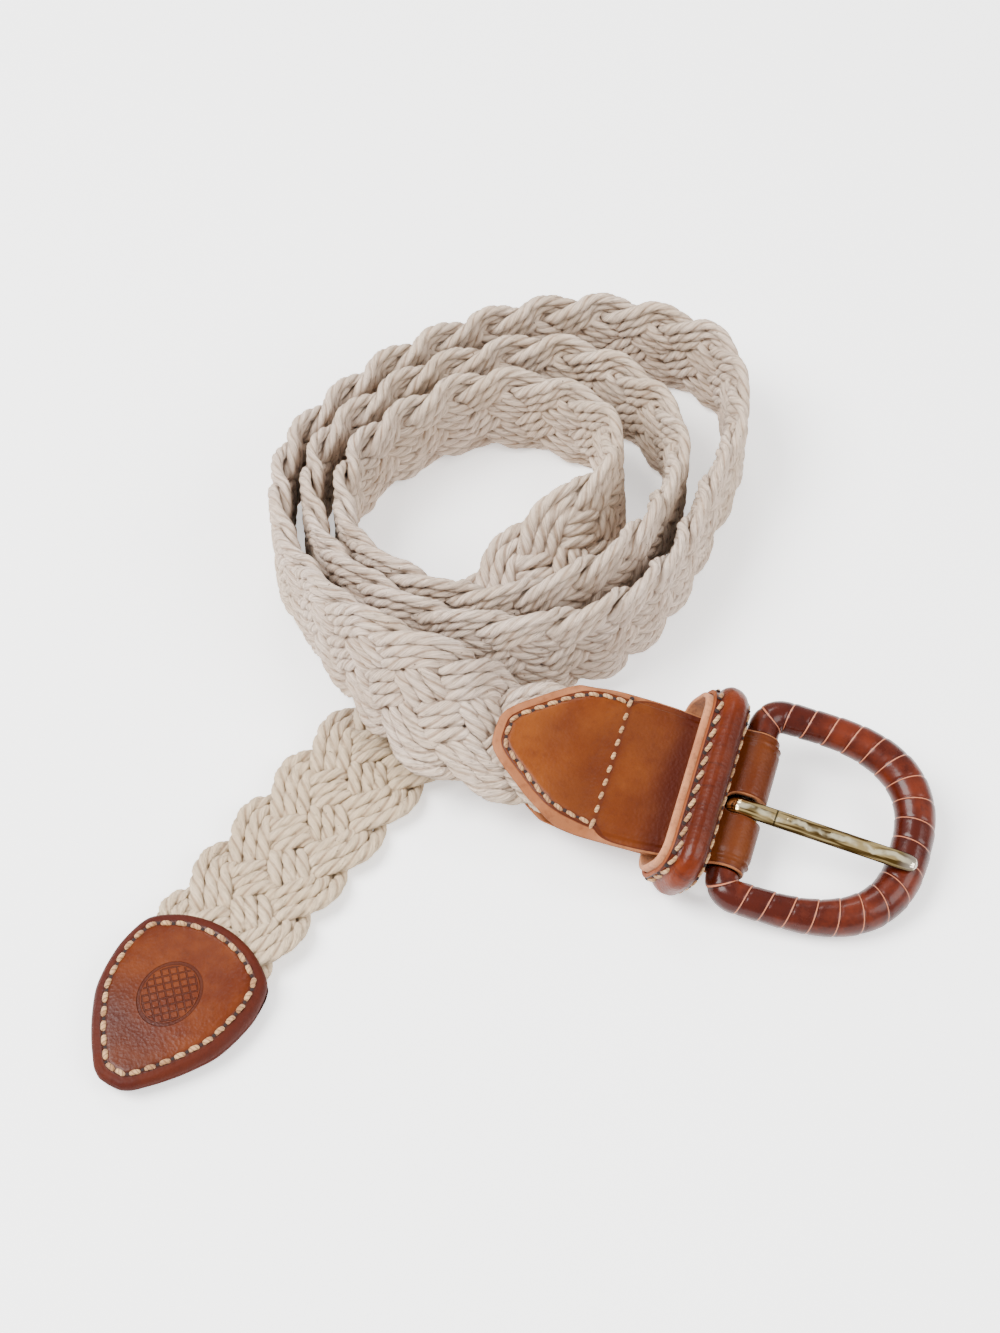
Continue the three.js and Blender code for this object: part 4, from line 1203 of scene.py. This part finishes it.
def frame_line(steps=46, corner_steps=12):
    """Middle line of the frame: wound ends over the bar, quarter circles, and a bow
    x = s + (R-s)|cos a|^(2/n), y = h|sin a|^(2/n)."""
    c, half = FRAME["corner"], FRAME["half"]
    a = np.linspace(np.pi, np.pi / 2, corner_steps)
    corner = np.stack([c + c * np.cos(a), half - c + c * np.sin(a)], 1)
    leather_edge = CHAPE["fold"] * CHAPE["width"] / 2 + SEAT
    end_high, end_low = leather_edge - FRAME["offset"], -leather_edge - FRAME["offset"]
    a = np.linspace(np.pi / 2, -np.pi / 2, 2 * steps + 1)
    power = 2 / FRAME["squareness"]
    bow = np.stack([FRAME["shoulder"] + (FRAME["reach"] - FRAME["shoulder"]) * np.abs(np.cos(a)) ** power,
                    half * np.sign(np.sin(a)) * np.abs(np.sin(a)) ** power], 1)
    line = np.vstack([[0, end_high], corner, bow, (corner * [1, -1])[::-1], [0, end_low]])
    reached = run(line)
    s = np.linspace(0, reached[-1], 420)
    return s, sampled(s, reached, line)


def smoothed(line, passes):
    """Each inner point moved to the mean of itself and its neighbours."""
    for _ in range(passes):
        line[1:-1] = (line[:-2] + 2 * line[1:-1] + line[2:]) / 4
    return line


def wound_frame():
    """A tube of radius arm to bow with its laps: w = s / winding + angle / 2π counts them, and each
    falls by 0.16 (1 - frac w) to a notch at its edge."""
    s, line = frame_line()
    line = smoothed(line, 12)
    way = unit(np.gradient(line, axis=0))
    way[0], way[-1] = [0, 1], [0, 1]
    way = unit(smoothed(way, 3))
    outward = np.stack([-way[:, 1], way[:, 0]], 1)
    swell = smoothstep(line[:, 0], FRAME["shoulder"], FRAME["reach"])
    radius = FRAME["arm"] + (FRAME["bow"] - FRAME["arm"]) * swell
    sides = 32
    a = 2 * np.pi * np.arange(sides) / sides
    windings = s[:, None] / WINDING + a[None] / (2 * np.pi)
    part = windings % 1
    lap = 0.16 * (1 - part) - 0.34 * np.exp(-(part / 0.06) ** 2) - 0.2 * np.exp(-((1 - part) / 0.05) ** 2)
    r = radius[:, None] - 0.06 + lap
    grid = np.stack([line[:, 0, None] + r * np.cos(a) * outward[:, 0, None],
                     line[:, 1, None] + r * np.cos(a) * outward[:, 1, None], r * np.sin(a)], -1)
    shape = skin(ring_place.put(grid), along=s / WINDING, around=np.linspace(0, 1, sides + 1))
    for m in shape["maps"]:
        m[..., 0] += m[..., 1]
    return shape


make("wound_frame", wound_frame(), wound_finish, "buckle_frame", ["wrapped_frame"])
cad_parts["heel_bar"].data.materials.clear()
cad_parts["heel_bar"].data.materials.append(steel_finish)

# %% Prong


def prong_shape():
    """A flat bar rolled round the heel bar and led to the far side; its section is
    |x/w|^2.3 + |z/t|^2.2 = 1, and its tip is drawn in."""
    curl = BAR + PRONG["clearance"] + PRONG["thickness"] / 2
    a = np.radians(np.linspace(15, -270, 60))
    roll = np.stack([curl * np.cos(a), curl * np.sin(a)], 1)
    rest = FRAME["bow"] + SEAT + PRONG["thickness"] / 2
    slope = math.atan2(rest - curl, FRAME["reach"])
    rounding = 1 - 0.1 * np.cos(np.linspace(0, np.pi / 2, 26))
    share = np.concatenate([np.linspace(0.01, 0.9, 70), rounding[1:]])
    x = share * PRONG["length"]
    shrink = steady([0, 0.9, 0.95, 0.985, 1], [1, 1, 0.94, 0.72, 0.16])(share)
    thin = steady([0, 0.9, 0.95, 0.985, 1], [1, 1, 0.92, 0.74, 0.25])(share)
    tilt = np.concatenate([a, np.full(len(x), -1.5 * np.pi + slope)])
    z = curl + x * math.tan(slope) - (1 - thin) * PRONG["thickness"] * 0.35
    line = np.vstack([roll, np.stack([x, z], 1)])
    wide = np.concatenate([np.ones(len(a)), shrink]) * PRONG["width"] / 2
    thick = np.concatenate([np.ones(len(a)), thin]) * PRONG["thickness"] / 2
    seam = np.concatenate([np.zeros(len(a)), np.exp(-((x - 8.2) / 0.22) ** 2)])
    thick = thick * (1 - 0.14 * seam)
    wide = wide * (1 - 0.03 * seam)
    t = 2 * np.pi * np.arange(28) / 28
    c, s = np.cos(t), np.sin(t)
    across = np.sign(c) * np.abs(c) ** (2 / 2.3)
    through = np.sign(s) * np.abs(s) ** (2 / 2.2)
    through = np.where(through > 0, through, through * 0.9)
    lean = np.stack([np.cos(tilt), np.sin(tilt)], 1)
    h = thick[:, None] * through[None]
    grid = np.stack([line[:, 0, None] + h * lean[:, 0, None], wide[:, None] * across[None],
                     line[:, 1, None] + h * lean[:, 1, None]], -1)
    reached = run(line)
    return skin(prong_place.put(grid), along=(reached - reached[len(a)]) / 10, around=np.linspace(0, 1, 29))


make("prong_bar", prong_shape(), brass_finish, "prong", ["prong"])

# %% [markdown]
# ## The studio
# The photograph has no background, so the table is plain, very large and white, and glows a little
# to stay so. A large soft light stands at the upper left, a weaker one at the right and a small one
# behind for the sheen of the leather, inside an even white surrounding. The camera looks down at 54
# degrees, as in the photograph.

# %% Floor, lights and camera


TABLE_HALF = 20


def floor():
    """A flat square table far larger than the view."""
    material, shader, start = finish_of("table", Roughness=0.6, Emission_Strength=0.7)
    shader.inputs["Emission Color"].default_value = (1, 1, 1, 1)
    tone = start.noise(own_place(start), 3.0).between(0.2, 0.8)
    paint(shader, tone.colours(rgb(250, 249, 248), rgb(252, 252, 251)), "Base Color")
    mesh = bpy.data.meshes.new("table")
    corners = [(x * TABLE_HALF, y * TABLE_HALF, 0) for x, y in ((-1, -1), (1, -1), (1, 1), (-1, 1))]
    mesh.from_pydata(corners, [], [(0, 1, 2, 3)])
    mesh.materials.append(material)
    thing = bpy.data.objects.new("table", mesh)
    bpy.context.scene.collection.objects.link(thing)


def lamp(name, power, size, place):
    """A square lamp in watts and metres that faces the belt's middle."""
    light = bpy.data.lights.new(name, "AREA")
    light.energy, light.size = power, size
    thing = bpy.data.objects.new(name, light)
    thing.location = place
    thing.rotation_euler = look(np.array([0, 0, 0.02]) - place)
    bpy.context.scene.collection.objects.link(thing)


def look(way):
    """Euler angles of a camera or lamp that faces along way: (pitch, 0, heading)."""
    x, y, z = way
    return (math.atan2(math.hypot(x, y), -z), 0, math.atan2(-x, y))


def surround(strength):
    """Even white light from all sides."""
    world = bpy.data.worlds.new("studio")
    world.use_nodes = True
    back = world.node_tree.nodes["Background"]
    back.inputs["Color"].default_value = (1, 1, 1, 1)
    back.inputs["Strength"].default_value = strength
    bpy.context.scene.world = world


def camera():
    """The photograph's view: 2600 pixels of focal length over 1333 of height, 682 mm away."""
    elevation = math.radians(54)
    lens = bpy.data.cameras.new("camera")
    lens.sensor_fit, lens.sensor_height, lens.sensor_width = "VERTICAL", 36, 36
    lens.lens = 36 * 2600 / 1333
    thing = bpy.data.objects.new("camera", lens)
    target = np.array([shift[0], shift[1] - 38, shift[2]]) * 0.001
    away = 0.682 * np.array([0, -math.cos(elevation), math.sin(elevation)])
    thing.location = target + away
    thing.rotation_euler = look(-away)
    bpy.context.scene.collection.objects.link(thing)
    bpy.context.scene.camera = thing


floor()
surround(1.1)
lamp("window", 58.0, 0.9, (-0.85, -0.1, 1.25))
lamp("bounce", 22.0, 0.9, (1.0, -0.5, 1.0))
lamp("sheen", 4.0, 0.3, (-0.05, 0.75, 1.0))
camera()
